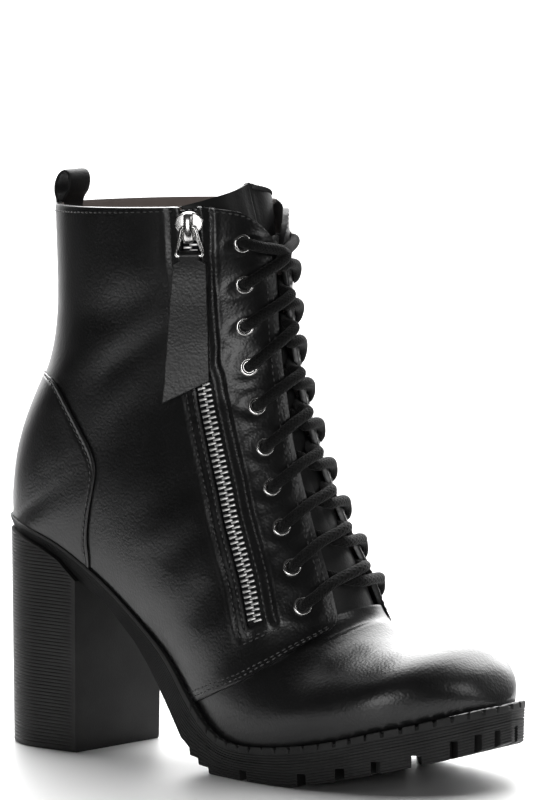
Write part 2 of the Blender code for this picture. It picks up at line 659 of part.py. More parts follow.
def build_zip_tab(frame, bar, end, mats, group):
    """Leather tab looped round the ring's lower bar."""
    hole = RING_WIRE + CLEAR + 0.05
    skin = hole + 1.2
    angles = [math.radians(v) for v in (-130, -90, -45, 0, 45, 90, 130)]
    outer = [(bar - skin * math.cos(v), end + skin * math.sin(v)) for v in angles]
    profile = outer + [(bar + 6.0, end + TAB_THICK / 2), (bar + 6.0, end - TAB_THICK / 2)]
    ring = [(bar - hole * math.cos(v), end + hole * math.sin(v))
            for v in [math.radians(a) for a in range(-180, 180, 45)]]
    neck = TAB_NECK / 2
    body = sweep("zip_pull_tab", [[local(frame, a, d, o) for d, o in profile] for a in (-neck, neck)],
                 mats["tab"], group)
    eye = sweep("zip_tab_eye", [[local(frame, a, d, o) for d, o in ring] for a in (-neck - 2, neck + 2)],
                None, group)
    cut(body, eye)
    bpy.data.objects.remove(eye, do_unlink=True)
    wide, shoulder = TAB_WIDE / 2, TAB_SHOULDER / 2
    strap_outline = [(-neck, bar + 5.5), (neck, bar + 5.5), (shoulder, bar + 7.5),
                     (TAB_LEAN + wide, bar + TAB_LENGTH), (TAB_LEAN - wide, bar + TAB_LENGTH - TAB_SLANT),
                     (-shoulder, bar + 7.5)]
    half = TAB_THICK / 2
    strap = block("zip_tab_strap", frame, strap_outline, end - half, end + half, None, group)
    cut(body, strap, "UNION")
    bpy.data.objects.remove(strap, do_unlink=True)
    return body


def hang_on(item, point):
    """Put an object's origin on its hinge."""
    place = Vector(seat(point))
    for vertex in item.data.vertices:
        vertex.co -= place
    item.location = place


def build_counter(mat, group):
    """Overlay round the heel, cut from the upper's own surface."""
    first, last = COUNTER_EDGE[0][0], COUNTER_EDGE[-1][0]
    steps, back = quarter_steps()
    ends = [(s - SEAM[0][1]) / (1.0 - SEAM[0][1]) for s in (first, last)]
    rows = [ends[0]] + [r for r in steps if ends[0] + 0.004 < r < ends[1] - 0.004] + [ends[1]]
    across = [c for c in C_STEPS if c < 0.55]
    cells = []
    for side in (-1, 1):
        net = []
        for r in rows:
            line = []
            for c in across:
                s = min(max(quarter_s(r, c), first), last)
                t = min(c * throat_t(s, side), table_at(COUNTER_EDGE, s))
                line.append((round(s, 6), round(max(t, 0.0), 6), 0 if t < 1e-6 and r > back - 1e-6 else side))
            net.append(line)
        for i in range(len(rows) - 1):
            for j in range(len(across) - 1):
                low_pair, high_pair = (net[i][j], net[i][j + 1]), (net[i + 1][j], net[i + 1][j + 1])
                cells.append((low_pair[0], low_pair[1], high_pair[1]))
                cells.append((low_pair[0], high_pair[1], high_pair[0]))
    low = LAP + CLEAR + 0.2
    return overlay("heel_counter", cells, low, low + COUNTER_THICK, mat, group)


def overlay(name, cells, low, high, mat, group):
    """Sheet of leather over the upper, between two heights above the last."""
    keys, points, faces, edges = {}, [], [], {}

    def number(key):
        if key not in keys:
            keys[key] = len(points)
            s, t, side = key
            points.append(off_edge(s, t, side or 1, low))
            points.append(off_edge(s, t, side or 1, high))
        return keys[key]

    for cell in cells:
        loop = [key for i, key in enumerate(cell) if key != cell[i - 1]]
        if len(set(loop)) < 3:
            continue
        loop = [number(key) for key in loop]
        faces.append(tuple(loop))
        faces.append(tuple(i + 1 for i in reversed(loop)))
        for i, b in enumerate(loop):
            pair = tuple(sorted((loop[i - 1], b)))
            edges[pair] = edges.get(pair, 0) + 1
    for (a, b), uses in edges.items():
        if uses == 1:
            faces.append((a, b, b + 1, a + 1))
    return solid(name, points, faces, mat, group)


def tongue_point(s, a, side, lift):
    """a runs 0 at the side edge to 1 at the middle of the tongue."""
    inside = min(s, 1.0)
    edge = table_at(TONGUE, inside, 1)
    t = edge + (1 - edge) * a
    back = table_at(TONGUE, inside, 2) * a ** 1.4
    under = WALL + (0.9 if inside < 0.42 else 0.75)
    p = off(inside, t, side, -under - back - lift)
    if s > 1.0:
        rise = (s - 1.0) * a
        p = p + np.array([-0.28 * rise * TONGUE_PEAK, 0.0, rise * TONGUE_PEAK])
    return p


def build_tongue(mat, group):
    places = list(np.linspace(TONGUE[0][0], 1.0, 17)) + [1.5, 2.0]
    across = [(-1, a) for a in (0.0, 0.25, 0.5, 0.75, 0.9, 1.0)]
    across += [(1, a) for a in (0.9, 0.75, 0.5, 0.25, 0.0)]
    count = len(across)
    points = []
    for lift in (0.0, TONGUE_THICK):
        for s in places:
            points += [tongue_point(s, a, side, lift) for side, a in across]
    layer = len(places) * count
    faces = grid_faces(len(places), count)
    faces += [tuple(reversed(f)) for f in grid_faces(len(places), count, layer)]
    for i in range(len(places) - 1):
        for j in (0, count - 1):
            a, b = i * count + j, (i + 1) * count + j
            faces.append((a, b, layer + b, layer + a))
    for i in (0, len(places) - 1):
        for j in range(count - 1):
            a = i * count + j
            faces.append((a, a + 1, layer + a + 1, layer + a))
    return solid("tongue", points, faces, mat, group)


SOLE_PLACES = (0.0, 0.006, 0.0146, 0.0235, 0.0323, 0.042, 0.0523, 0.0727, 0.0985, 0.1303, 0.1706, 0.2010,
               0.2200, 0.2420, 0.2626, 0.2830, 0.3042, 0.3180, 0.3200, 0.3310, 0.3330, 0.3440, 0.3460,
               0.3600, 0.3770, 0.3979, 0.4260, 0.4559, 0.4850, 0.5152, 0.5500, 0.5900, 0.6218, 0.6569,
               0.6700, 0.6815, 0.6920, 0.6985, 0.7040, 0.7075, 0.7094)


def loft_plate(name, rows, mat, group):
    """Plate from rows of (lateral top, lateral bottom, medial bottom, medial top) points."""
    points = [p for row in rows for p in row]
    faces = []
    for i in range(len(rows) - 1):
        for j in range(4):
            k = (j + 1) % 4
            faces.append((4 * i + j, 4 * i + k, 4 * i + 4 + k, 4 * i + 4 + j))
    faces.append((0, 1, 2, 3))
    end = 4 * (len(rows) - 1)
    faces.append((end, end + 1, end + 2, end + 3))
    return solid(name, points, faces, mat, group)


def sole_row(s):
    low = np.array([table_at(UNDERSIDE, s, 1), 0.0, table_at(UNDERSIDE, s, 2)])
    row = []
    for side in (-1, 1):
        top = feather(s, side, ledge_at(s), -CLEAR)
        foot = feather(s, side, 0.0)
        shift = top - foot
        inset = 0.6
        bottom = np.array([low[0] + shift[0] * inset, foot[1] + shift[1] * inset, low[2]])
        row.append((top, bottom))
    return [row[0][0], row[0][1], row[1][1], row[1][0]]


def add_box(bm, start, end, half, lows, highs):
    """Six-sided cutter between two plan points, its floor and roof sloping between them."""
    corner = []
    for heights in (lows, highs):
        for p, h in ((start, heights[0]), (end, heights[1])):
            for sign in (-1, 1):
                q = p + half * sign
                corner.append(bm.verts.new(seat((q[0], q[1], h))))
    for f in ((0, 1, 3, 2), (4, 5, 7, 6), (0, 1, 5, 4), (1, 3, 7, 5), (3, 2, 6, 7), (2, 0, 4, 6)):
        bm.faces.new([corner[i] for i in f])


def build_outsole(mat, group, cutters):
    sole = loft_plate("outsole", [sole_row(s) for s in SOLE_PLACES], mat, group)
    bm = bmesh.new()
    for s, side, length, height, depth in NOTCHES:
        edge = feather(s, side, ledge_at(s))
        run = feather(s + 0.003, side, ledge_at(s)) - feather(max(s - 0.003, 0.0), side, ledge_at(s))
        run[2] = 0.0
        run = run / np.linalg.norm(run)
        out = side * np.array([run[1], -run[0], 0.0])
        low = table_at(UNDERSIDE, s, 2)
        edge[2] = 0.0
        add_box(bm, edge - out * depth, edge + out * 6.0, run * length / 2, (low - 12.0, low - 12.0),
                (low + height, low + height))
    add_box(bm, *CHANNEL)
    for x in GROOVES:
        reach, half, depth = GROOVE_SIZE
        roof = under_z(x, 0.0) + depth
        ends = np.array([x, -reach, 0.0]), np.array([x, reach, 0.0])
        add_box(bm, *ends, np.array([half, 0.0, 0.0]), (-9.0, -9.0), (roof, roof))
    bmesh.ops.recalc_face_normals(bm, faces=bm.faces)
    mesh = bpy.data.meshes.new("tread_notches")
    bm.to_mesh(mesh)
    bm.free()
    notches = bpy.data.objects.new("tread_notches", mesh)
    cutters.objects.link(notches)
    notches.hide_render = True
    notches.display_type = "WIRE"
    return cut(sole, notches)


def build_insole(mat, group):
    rows = []
    for s in SOLE_PLACES:
        inset = -WALL - float(np.interp(s, (0.0, 0.64, 0.68, S_BACK), (0.8, 0.8, 2.4, 3.6)))
        if 0.004 < s < 0.7085:
            top = [feather(s, side, inset, INSOLE_THICK + 0.1) for side in (-1, 1)]
            low = [feather(s, side, inset, 0.1) for side in (-1, 1)]
            rows.append([top[0], low[0], low[1], top[1]])
    return loft_plate("insole", rows, mat, group)


def under_z(x, start=0.50):
    """Height of the sole's underside at x, over the heel or from a place s on."""
    rows = [(r[1], r[2]) for r in UNDERSIDE if r[0] >= start]
    rows.reverse()
    return table_at(rows, x)


# Room for the sole's facets over the heel
HEEL_ROOM = 0.4


def build_heel(mat, group):
    """Block with a flat breast and a round back, its top shaped to the sole."""
    half = HEEL_WIDTH / 2
    outline = []
    for v in np.linspace(0, math.pi / 2, 11):
        outline.append((half * 1.02 - half * 1.02 * math.cos(v), half * math.sin(v) ** 0.92))
    outline += [(35.0, half), (43.0, half * 0.995), (HEEL_LENGTH, half * 0.985)]
    axis = np.array([math.cos(HEEL_TURN), math.sin(HEEL_TURN)])
    side = np.array([-axis[1], axis[0]])
    start = np.array([HEEL_BACK, 0.6])
    mid = start + axis * HEEL_LENGTH * 0.5
    points = []
    levels = (0.0, 1.2, None)
    for level in levels:
        for a, w in outline:
            for sign in (-1, 1):
                plan = start + axis * a + side * w * sign
                if level is not None:
                    shrink = HEEL_TAPER if level > 0 else HEEL_TAPER - 0.03
                    plan = mid + (plan - mid) * (shrink, shrink)
                z = level if level is not None else under_z(plan[0]) - CLEAR - HEEL_ROOM
                points.append(np.array([plan[0], plan[1], z]))
    n = len(outline)
    faces = []
    for k in range(len(levels) - 1):
        a0, b0 = k * 2 * n, (k + 1) * 2 * n
        for i in range(n - 1):
            for sgn in (0, 1):
                p, q = 2 * i + sgn, 2 * i + 2 + sgn
                faces.append((a0 + p, a0 + q, b0 + q, b0 + p))
        p, q = 2 * n - 2, 2 * n - 1
        faces.append((a0 + p, a0 + q, b0 + q, b0 + p))
    top = 2 * (len(levels) - 1) * n
    for i in range(n - 1):
        faces.append((top + 2 * i, top + 2 * i + 1, top + 2 * i + 3, top + 2 * i + 2))
    low_ring = [2 * i for i in range(n)] + [2 * i + 1 for i in reversed(range(1, n))]
    faces.append(tuple(low_ring))
    return solid("heel", points, faces, mat, group)


def build_eyelets(mat, group):
    """Flanged rings turned from one profile."""
    foot = -WALL - LAP - EYELET_TAIL
    profile = [(EYELET_BORE, foot), (EYELET_BARREL, foot), (EYELET_BARREL, EYELET_SEAT),
               (EYELET_FLANGE, EYELET_SEAT), (EYELET_BORE, EYELET_CROWN)]
    steps = 8
    for side, word in ((-1, "lateral"), (1, "medial")):
        for k in range(len(EYELETS)):
            centre, axis = eyelet_frame(k, side)
            turn = Vector(axis).to_track_quat("Z", "Y").to_matrix()
            points, faces = [], []
            for i in range(steps):
                angle = 2 * math.pi * i / steps
                for r, h in profile:
                    p = turn @ Vector((r * math.cos(angle), r * math.sin(angle), h))
                    points.append(centre + np.array(p))
            n = len(profile)
            for i in range(steps):
                for j in range(n):
                    a, b = i * n, ((i + 1) % steps) * n
                    faces.append((a + j, a + (j + 1) % n, b + (j + 1) % n, b + j))
            solid("eyelet_%s_%02d" % (word, k + 1), points, faces, mat, group)


def lace_path(k, side):
    """One strand from its eyelet over the throat to the far edge."""
    s0, t0 = EYELETS[k]
    s1 = EYELETS[k + 1][0]
    run = half_section(s0, side)[1]
    start = t0 + (EYELET_FLANGE + LACE_START) / run[-1]
    stations = [(0.08, start, side), (0.22, None, side), (0.36, "edge", side),
                (0.56, 1.0, side), (0.74, "edge", -side)]
    path = []
    for u, t, which in stations:
        s = s0 + (s1 - s0) * u
        edge = throat_t(s, which)
        if t is None:
            t = (start + edge) / 2
        elif t == "edge":
            t = edge
        path.append(off(s, min(t, 1.0), which, LACE_LIFT))
    return path


def top_path(side):
    """Short end from the top eyelet to the middle, where it is tucked away."""
    s0, t0 = EYELETS[-1]
    s1 = EYELETS[-2][0]
    run = half_section(s0, side)[1]
    start = t0 + (EYELET_FLANGE + LACE_START) / run[-1]
    s_end = s1 + (s0 - s1) * (0.70 if side < 0 else 0.64)
    return [off(s0 - 0.002, start, side, LACE_LIFT), off((s0 + s_end) / 2, (start + 1) / 2, side, LACE_LIFT),
            off(s_end, 1.0, side, LACE_LIFT)]


def build_lace(mat, group):
    for k in range(len(EYELETS) - 1):
        cross = wire("lace_cross_%02d" % (k + 1), lace_path(k, -1), LACE_RADIUS, mat, group, sides=1)
        others = [lace_path(k, 1)]
        if k == len(EYELETS) - 2:
            others += [top_path(-1), top_path(1)]
        for n, path in enumerate(others):
            strand = wire("strand", path, LACE_RADIUS * (0.985 - 0.012 * n), None, group, sides=1)
            cut(cross, strand, "UNION")
            bpy.data.objects.remove(strand, do_unlink=True)


def build_loop(mat, group):
    """Strip loop standing on the collar at the back seam."""
    base = surface(1.0, 0.0, -1)
    x0, z0 = base[0], base[2]
    outside = [(-1.2, 0.4), (-2.2, 4.0), (-2.0, 8.0), (0.0, 12.0), (3.0, 13.8), (5.8, 12.8),
               (7.0, 9.5), (6.2, 5.0), (2.4, 0.4)]
    inside = [(0.0, 0.4), (-0.9, 4.2), (-0.7, 7.6), (0.9, 10.9), (3.1, 12.3), (5.0, 11.6),
              (5.7, 9.2), (4.9, 5.4), (1.2, 0.4)]
    half = LOOP_WIDTH / 2
    points, faces = [], []
    n = len(outside)
    for y in (-half, half):
        points += [np.array([x0 + a, y, z0 + b]) for a, b in outside]
        points += [np.array([x0 + a, y, z0 + b]) for a, b in inside]
    for j in range(n - 1):
        faces.append((j, j + 1, 2 * n + j + 1, 2 * n + j))
        faces.append((n + j, 3 * n + j, 3 * n + j + 1, n + j + 1))
        faces.append((j, n + j, n + j + 1, j + 1))
        faces.append((2 * n + j, 2 * n + j + 1, 3 * n + j + 1, 3 * n + j))
    faces += [(0, 2 * n, 3 * n, n), (n - 1, 2 * n - 1, 4 * n - 1, 3 * n - 1)]
    return solid("pull_loop", points, faces, mat, group)


def main():
    clear_scene()
    group = bpy.data.collections.new("block_heel_lace_up_boot")
    cutters = bpy.data.collections.new("cutters")
    bpy.context.scene.collection.children.link(group)
    bpy.context.scene.collection.children.link(cutters)
    mats = {
        "upper": material("upper_leather", (0.012, 0.012, 0.013), 0.0, 0.38),
        "counter": material("counter_leather", (0.012, 0.012, 0.013), 0.0, 0.36),
        "tongue": material("tongue_leather", (0.014, 0.014, 0.015), 0.0, 0.42),
        "loop": material("loop_leather", (0.013, 0.013, 0.014), 0.0, 0.40),
        "tab": material("tab_leather", (0.013, 0.013, 0.014), 0.0, 0.40),
        "sole": material("sole_rubber", (0.020, 0.020, 0.021), 0.0, 0.62),
        "heel": material("heel_stack", (0.020, 0.020, 0.021), 0.0, 0.60),
        "insole": material("insole_board", (0.030, 0.028, 0.027), 0.0, 0.80),
        "tape": material("zip_tape_cloth", (0.010, 0.010, 0.010), 0.0, 0.85),
        "metal": material("zip_metal", (0.62, 0.62, 0.63), 1.0, 0.22),
        "eyelet": material("eyelet_metal", (0.66, 0.66, 0.67), 1.0, 0.20),
        "lace": material("lace_cord", (0.012, 0.012, 0.012), 0.0, 0.75),
    }
    upper = build_upper(mats["upper"], group)
    cut(upper, eyelet_holes(cutters))
    build_zip(upper, mats, group, cutters)
    build_tongue(mats["tongue"], group)
    build_outsole(mats["sole"], group, cutters)
    build_insole(mats["insole"], group)
    build_heel(mats["heel"], group)
    build_counter(mats["counter"], group)
    build_eyelets(mats["eyelet"], group)
    build_lace(mats["lace"], group)
    build_loop(mats["loop"], group)


main()
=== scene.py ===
"""Dresses the block heel lace-up boot: leather, stitching, lace, zip, sole and the studio round it."""
import math

import bmesh
import bpy
import numpy as np
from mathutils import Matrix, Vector


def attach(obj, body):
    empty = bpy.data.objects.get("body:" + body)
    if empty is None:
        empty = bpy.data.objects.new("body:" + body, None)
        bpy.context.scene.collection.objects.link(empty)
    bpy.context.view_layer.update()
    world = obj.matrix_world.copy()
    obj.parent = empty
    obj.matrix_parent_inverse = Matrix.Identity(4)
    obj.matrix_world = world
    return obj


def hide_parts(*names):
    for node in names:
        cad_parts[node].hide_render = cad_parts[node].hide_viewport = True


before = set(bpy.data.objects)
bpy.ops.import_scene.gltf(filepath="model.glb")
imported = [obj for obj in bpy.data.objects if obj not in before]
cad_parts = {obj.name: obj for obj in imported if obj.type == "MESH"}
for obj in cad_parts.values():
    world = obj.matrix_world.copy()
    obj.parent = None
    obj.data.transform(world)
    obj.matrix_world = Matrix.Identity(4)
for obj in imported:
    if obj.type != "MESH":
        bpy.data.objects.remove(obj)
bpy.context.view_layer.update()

bl_info = {
    "name": "Block heel lace-up boot",
    "version": (1, 0, 0),
    "blender": (4, 5, 0),
    "location": "View3D > Sidebar > Boot",
    "description": "Models and dresses a right ankle boot with a block heel, laces and a side zip",
    "category": "Object",
}

MM = 0.001
BOOT = "boot"
PULL = "zip_pull"
LATERAL, MEDIAL = -1, 1

# Place of the part's origin in the last's own millimetres
X_MID = 115.188
Y_MID = -1.175

# Last: s place, tx tz ridge, bx bz feather line or back seam, fl fm feather y (lateral, medial),
# wl wm widest y, hm height of the widest point, yc ridge y, pt fullness, pb roundness, gp half throat
LAST_COLUMNS = ("s", "tx", "tz", "bx", "bz", "fl", "fm", "wl", "wm", "hm", "yc", "pt", "pb", "gp")
LAST = (
    (0.0000, 234.6, 33.5, 234.6, 33.5, 6.0, 6.0, 6.0, 6.0, 0.30, 6.0, 2.30, 1.00, 4.0),
    (0.0146, 234.0, 36.6, 233.8, 33.3, -0.5, 12.5, -0.7, 12.7, 0.30, 6.0, 2.30, 1.00, 7.0),
    (0.0323, 232.2, 41.2, 231.6, 32.8, -8.0, 19.0, -8.4, 19.4, 0.30, 6.0, 2.30, 1.00, 10.0),
    (0.0523, 229.0, 46.8, 228.0, 31.7, -15.5, 24.8, -16.1, 25.5, 0.30, 6.0, 2.30, 1.00, 13.0),
    (0.0727, 224.6, 51.0, 223.0, 30.3, -22.5, 30.4, -23.4, 31.3, 0.30, 6.2, 2.30, 1.00, 15.0),
    (0.0985, 218.0, 55.0, 215.3, 28.0, -30.0, 36.0, -31.2, 37.2, 0.30, 6.2, 2.30, 1.00, 16.5),
    (0.1303, 209.0, 56.2, 204.0, 25.0, -37.5, 40.3, -39.0, 41.8, 0.30, 6.0, 2.30, 1.00, 17.5),
    (0.1706, 198.0, 55.8, 188.0, 20.5, -43.0, 43.0, -44.8, 44.7, 0.30, 5.6, 2.20, 1.00, 18.0),
    (0.2158, 188.0, 57.0, 168.0, 16.5, -46.0, 43.5, -48.0, 45.2, 0.30, 5.0, 2.15, 1.00, 18.0),
    (0.2626, 180.0, 59.6, 146.0, 14.2, -44.5, 40.0, -47.0, 42.5, 0.32, 4.5, 2.10, 1.00, 18.0),
    (0.3042, 175.0, 62.6, 126.0, 16.5, -40.0, 35.0, -44.5, 40.5, 0.36, 3.5, 2.10, 1.00, 18.0),
    (0.3523, 171.0, 66.0, 107.0, 30.7, -33.5, 29.5, -41.2, 38.0, 0.40, 2.5, 2.10, 1.00, 18.0),
    (0.3979, 165.9, 79.4, 94.0, 43.2, -29.0, 25.0, -39.2, 36.2, 0.43, 1.5, 2.05, 1.00, 15.8),
    (0.4559, 156.0, 98.8, 79.0, 55.8, -27.2, 22.8, -37.1, 34.6, 0.45, 1.0, 2.00, 1.00, 12.4),
    (0.5152, 147.7, 116.9, 61.3, 69.8, -26.7, 22.3, -35.6, 33.6, 0.46, 0.5, 2.00, 1.00, 9.7),
    (0.5708, 141.2, 134.5, 43.6, 81.2, -26.5, 22.3, -34.1, 32.6, 0.46, 0.0, 2.00, 1.00, 8.0),
    (0.6218, 136.6, 151.1, 26.0, 89.2, -25.4, 22.0, -32.8, 31.6, 0.46, 0.0, 2.00, 1.35, 6.3),
    (0.6569, 134.2, 161.2, 12.0, 93.0, -22.4, 19.8, -32.1, 31.1, 0.46, 0.0, 2.00, 1.80, 5.7),
    (0.6815, 132.8, 168.2, 2.0, 94.9, -15.6, 14.4, -31.8, 31.1, 0.46, 0.0, 2.00, 1.97, 5.4),
    (0.6985, 131.8, 174.2, -3.6, 95.9, -8.2, 7.8, -31.7, 31.1, 0.46, 0.0, 2.00, 2.00, 5.1),
    (0.7094, 131.0, 179.3, -5.4, 96.6, 0.0, 0.0, -31.7, 31.1, 0.46, 0.0, 2.00, 2.00, 4.9),
    (0.7327, 130.0, 186.3, -6.0, 106.0, 0.0, 0.0, -31.9, 31.3, 0.47, 0.0, 2.00, 1.94, 4.5),
    (0.7739, 128.9, 194.4, -3.2, 125.0, 0.0, 0.0, -32.3, 31.9, 0.48, 0.0, 2.00, 1.78, 4.0),
    (0.8157, 127.7, 202.9, 4.0, 143.0, 0.0, 0.0, -33.1, 32.7, 0.48, 0.0, 2.00, 1.62, 3.4),
    (0.8537, 126.7, 210.4, 11.6, 159.0, 0.0, 0.0, -34.1, 33.7, 0.49, 0.0, 1.95, 1.52, 3.0),
    (0.8946, 125.9, 217.4, 15.9, 178.0, 0.0, 0.0, -35.3, 35.1, 0.50, 0.0, 1.95, 1.48, 3.0),
    (0.9441, 125.3, 224.4, 16.8, 202.0, 0.0, 0.0, -36.6, 36.4, 0.50, 0.0, 1.90, 1.50, 3.0),
    (1.0000, 124.8, 233.0, 17.0, 229.0, 0.0, 0.0, -37.6, 37.6, 0.50, 0.0, 1.90, 1.60, 3.0),
)
S_BACK = 0.7094
HEEL_CENTRE = 22.0
S_LENGTH = 430.0
# Height per unit of s past the collar
COLLAR_RISE = 450.0

# Quarter: lower edge on the vamp and upper edge at the collar; c runs feather to throat, then s
SEAM = ((0.0, 0.345), (0.23, 0.338), (0.41, 0.330), (0.59, 0.3265), (0.72, 0.3285), (0.84, 0.3310),
        (0.92, 0.3370), (0.97, 0.3470), (1.0, 0.3640))
COLLAR = ((0.0, 1.0), (0.78, 1.0), (0.86, 0.990), (0.90, 0.982), (0.93, 0.967), (0.965, 0.939),
          (0.99, 0.910), (1.0, 0.886))

# Sole underside: s, x, z
UNDERSIDE = (
    (0.0, 236.6, 18.4), (0.0323, 233.4, 16.8), (0.0727, 224.4, 13.4), (0.0985, 216.2, 11.2),
    (0.1303, 204.5, 8.2), (0.1706, 188.6, 4.5), (0.2010, 175.0, 1.6), (0.2200, 166.0, 0.0),
    (0.2626, 146.0, 0.0), (0.3042, 127.0, 0.0), (0.3180, 121.0, 0.0), (0.3200, 120.4, 2.4),
    (0.3310, 114.4, 2.8), (0.3330, 113.8, 5.4), (0.3440, 108.6, 6.0), (0.3460, 108.0, 9.0),
    (0.3600, 102.2, 12.6), (0.3979, 87.6, 32.2), (0.4559, 73.2, 49.8), (0.5152, 56.6, 65.0),
    (0.5500, 45.6, 71.6), (0.5900, 33.6, 81.2), (0.6218, 23.4, 85.8), (0.6569, 10.6, 89.6),
    (0.6815, 2.0, 91.2), (0.6985, -3.0, 91.6), (0.7094, -4.8, 91.7),
)
LEDGE = ((0.0, 4.2), (0.07, 4.2), (0.16, 3.4), (0.36, 3.4), (0.55, 2.6), (S_BACK, 2.6))

# Eyelets of one side, bottom to top: s, t
EYELETS = (
    (0.3873, 0.705), (0.4324, 0.740), (0.4815, 0.778), (0.5326, 0.812), (0.5817, 0.845),
    (0.6347, 0.867), (0.6917, 0.885), (0.7408, 0.893), (0.8193, 0.890), (0.9057, 0.880),
)

# Zip line on the lateral quarter: s, t
ZIP_LINE = (
    (0.3760, 0.500), (0.3931, 0.515), (0.4383, 0.570), (0.4717, 0.600), (0.5149, 0.635),
    (0.5522, 0.670), (0.5778, 0.688), (0.6170, 0.713), (0.6480, 0.733), (0.6760, 0.752),
    (0.6917, 0.763), (0.7094, 0.772), (0.7200, 0.775), (0.7327, 0.776), (0.7530, 0.772),
    (0.7739, 0.768), (0.8075, 0.758), (0.8537, 0.742), (0.9000, 0.731), (0.9863, 0.731),
    (1.0400, 0.719),
)
ZIP_FOOT = 0.386
# Slider, and the place its pull hangs towards: s, t
SLIDER_PLACE = (0.9660, 0.73075)
HANG_PLACE = (0.7000, 0.75019)

# Free edge of the heel counter: s, t
COUNTER_EDGE = (
    (0.5520, 0.0000), (0.5600, 0.0320), (0.5672, 0.0579), (0.5744, 0.0783), (0.5815, 0.0985), (0.5884, 0.1189),
    (0.5985, 0.1517), (0.6118, 0.1958), (0.6223, 0.2305), (0.6298, 0.2566), (0.6378, 0.2833), (0.6463, 0.3106),
    (0.6539, 0.3331), (0.6605, 0.3510), (0.6683, 0.3689), (0.6774, 0.3865), (0.6869, 0.4018), (0.6969, 0.4163),
    (0.7025, 0.4263), (0.7084, 0.4372), (0.7094, 0.4392), (0.7143, 0.4355), (0.7196, 0.4307), (0.7287, 0.4204),
    (0.7368, 0.4099), (0.7453, 0.3988), (0.7541, 0.3868), (0.7661, 0.3692), (0.7816, 0.3434), (0.7958, 0.3145),
    (0.8089, 0.2817), (0.8196, 0.2447), (0.8300, 0.1950), (0.8380, 0.1400), (0.8440, 0.0800), (0.8470, 0.0200),
)

# Tongue: s, t of its side edge, set-back of its middle
TONGUE = (
    (0.300, 0.740, 0.0), (0.366, 0.730, 0.0), (0.500, 0.800, 0.6), (0.600, 0.840, 1.2),
    (0.700, 0.860, 2.4), (0.800, 0.840, 4.0), (0.900, 0.780, 6.5), (1.000, 0.700, 10.0),
)
TONGUE_PEAK = 8.5

# Tread notches: s, side, length along the edge, height, depth inward
NOTCHES = (
    (0.2700, -1, 4.0, 4.4, 14.0), (0.2060, -1, 4.0, 5.0, 14.0), (0.1680, -1, 4.0, 5.0, 14.0),
    (0.1330, -1, 4.0, 5.4, 14.0), (0.0610, -1, 3.6, 7.0, 8.0), (0.0370, -1, 3.4, 7.0, 8.0),
    (0.0160, -1, 3.2, 6.6, 8.0), (0.0090, 1, 3.2, 6.6, 8.0), (0.0330, 1, 3.4, 7.0, 8.0),
    (0.0600, 1, 3.6, 7.0, 8.0), (0.0980, 1, 4.0, 6.4, 14.0), (0.1330, 1, 4.0, 5.4, 14.0),
    (0.1680, 1, 4.0, 5.0, 14.0), (0.2700, 1, 4.0, 4.4, 14.0),
)
# Channel across the tread: lateral end, medial end, half width, floor and roof heights
CHANNEL = ((225.0, -41.0), (156.0, 54.0), (1.7, 1.2), (-6.0, -12.0), (17.2, 3.8))
GROOVES = (128.0, 141.0, 154.0, 168.0)
GROOVE_REACH, GROOVE_HALF, GROOVE_DEPTH = 26.0, 1.8, 3.2

# Soft creases of the leather: side, first s t, last s t, width and depth in millimetres
CREASES = (
    (LATERAL, 0.312, 0.66, 0.326, 0.93, 5.0, 0.30), (LATERAL, 0.285, 0.72, 0.300, 0.98, 8.0, 0.20),
    (LATERAL, 0.345, 0.26, 0.400, 0.50, 7.0, 0.6), (LATERAL, 0.420, 0.24, 0.460, 0.46, 8.0, 0.6),
    (LATERAL, 0.500, 0.30, 0.525, 0.54, 8.0, 0.7), (LATERAL, 0.560, 0.40, 0.600, 0.60, 7.0, 0.5),
    (LATERAL, 0.440, 0.64, 0.500, 0.72, 4.0, 0.4), (LATERAL, 0.620, 0.77, 0.700, 0.81, 4.0, 0.4),
    (LATERAL, 0.880, 0.30, 0.860, 0.62, 11.0, 0.6), (LATERAL, 0.780, 0.46, 0.800, 0.70, 10.0, 0.5),
    (MEDIAL, 0.312, 0.66, 0.326, 0.93, 5.0, 0.30), (MEDIAL, 0.285, 0.72, 0.300, 0.98, 8.0, 0.20),
    (MEDIAL, 0.360, 0.30, 0.410, 0.62, 6.0, 0.6), (MEDIAL, 0.440, 0.30, 0.470, 0.60, 7.0, 0.7),
    (MEDIAL, 0.520, 0.36, 0.545, 0.66, 7.0, 0.7), (MEDIAL, 0.610, 0.46, 0.640, 0.70, 7.0, 0.5),
    (MEDIAL, 0.800, 0.46, 0.820, 0.72, 9.0, 0.6), (MEDIAL, 0.890, 0.30, 0.900, 0.62, 10.0, 0.5),
)

# Leather round an eyelet, and beside the zip: height, distance and width of each ridge or trough
PUCKERS = ((-0.45, 0.0, 5.2), (0.22, 8.5, 2.6))
ZIP_WELTS = ((0.75, 5.0, 1.5), (-0.35, 8.3, 1.2), (0.30, 10.3, 1.2))

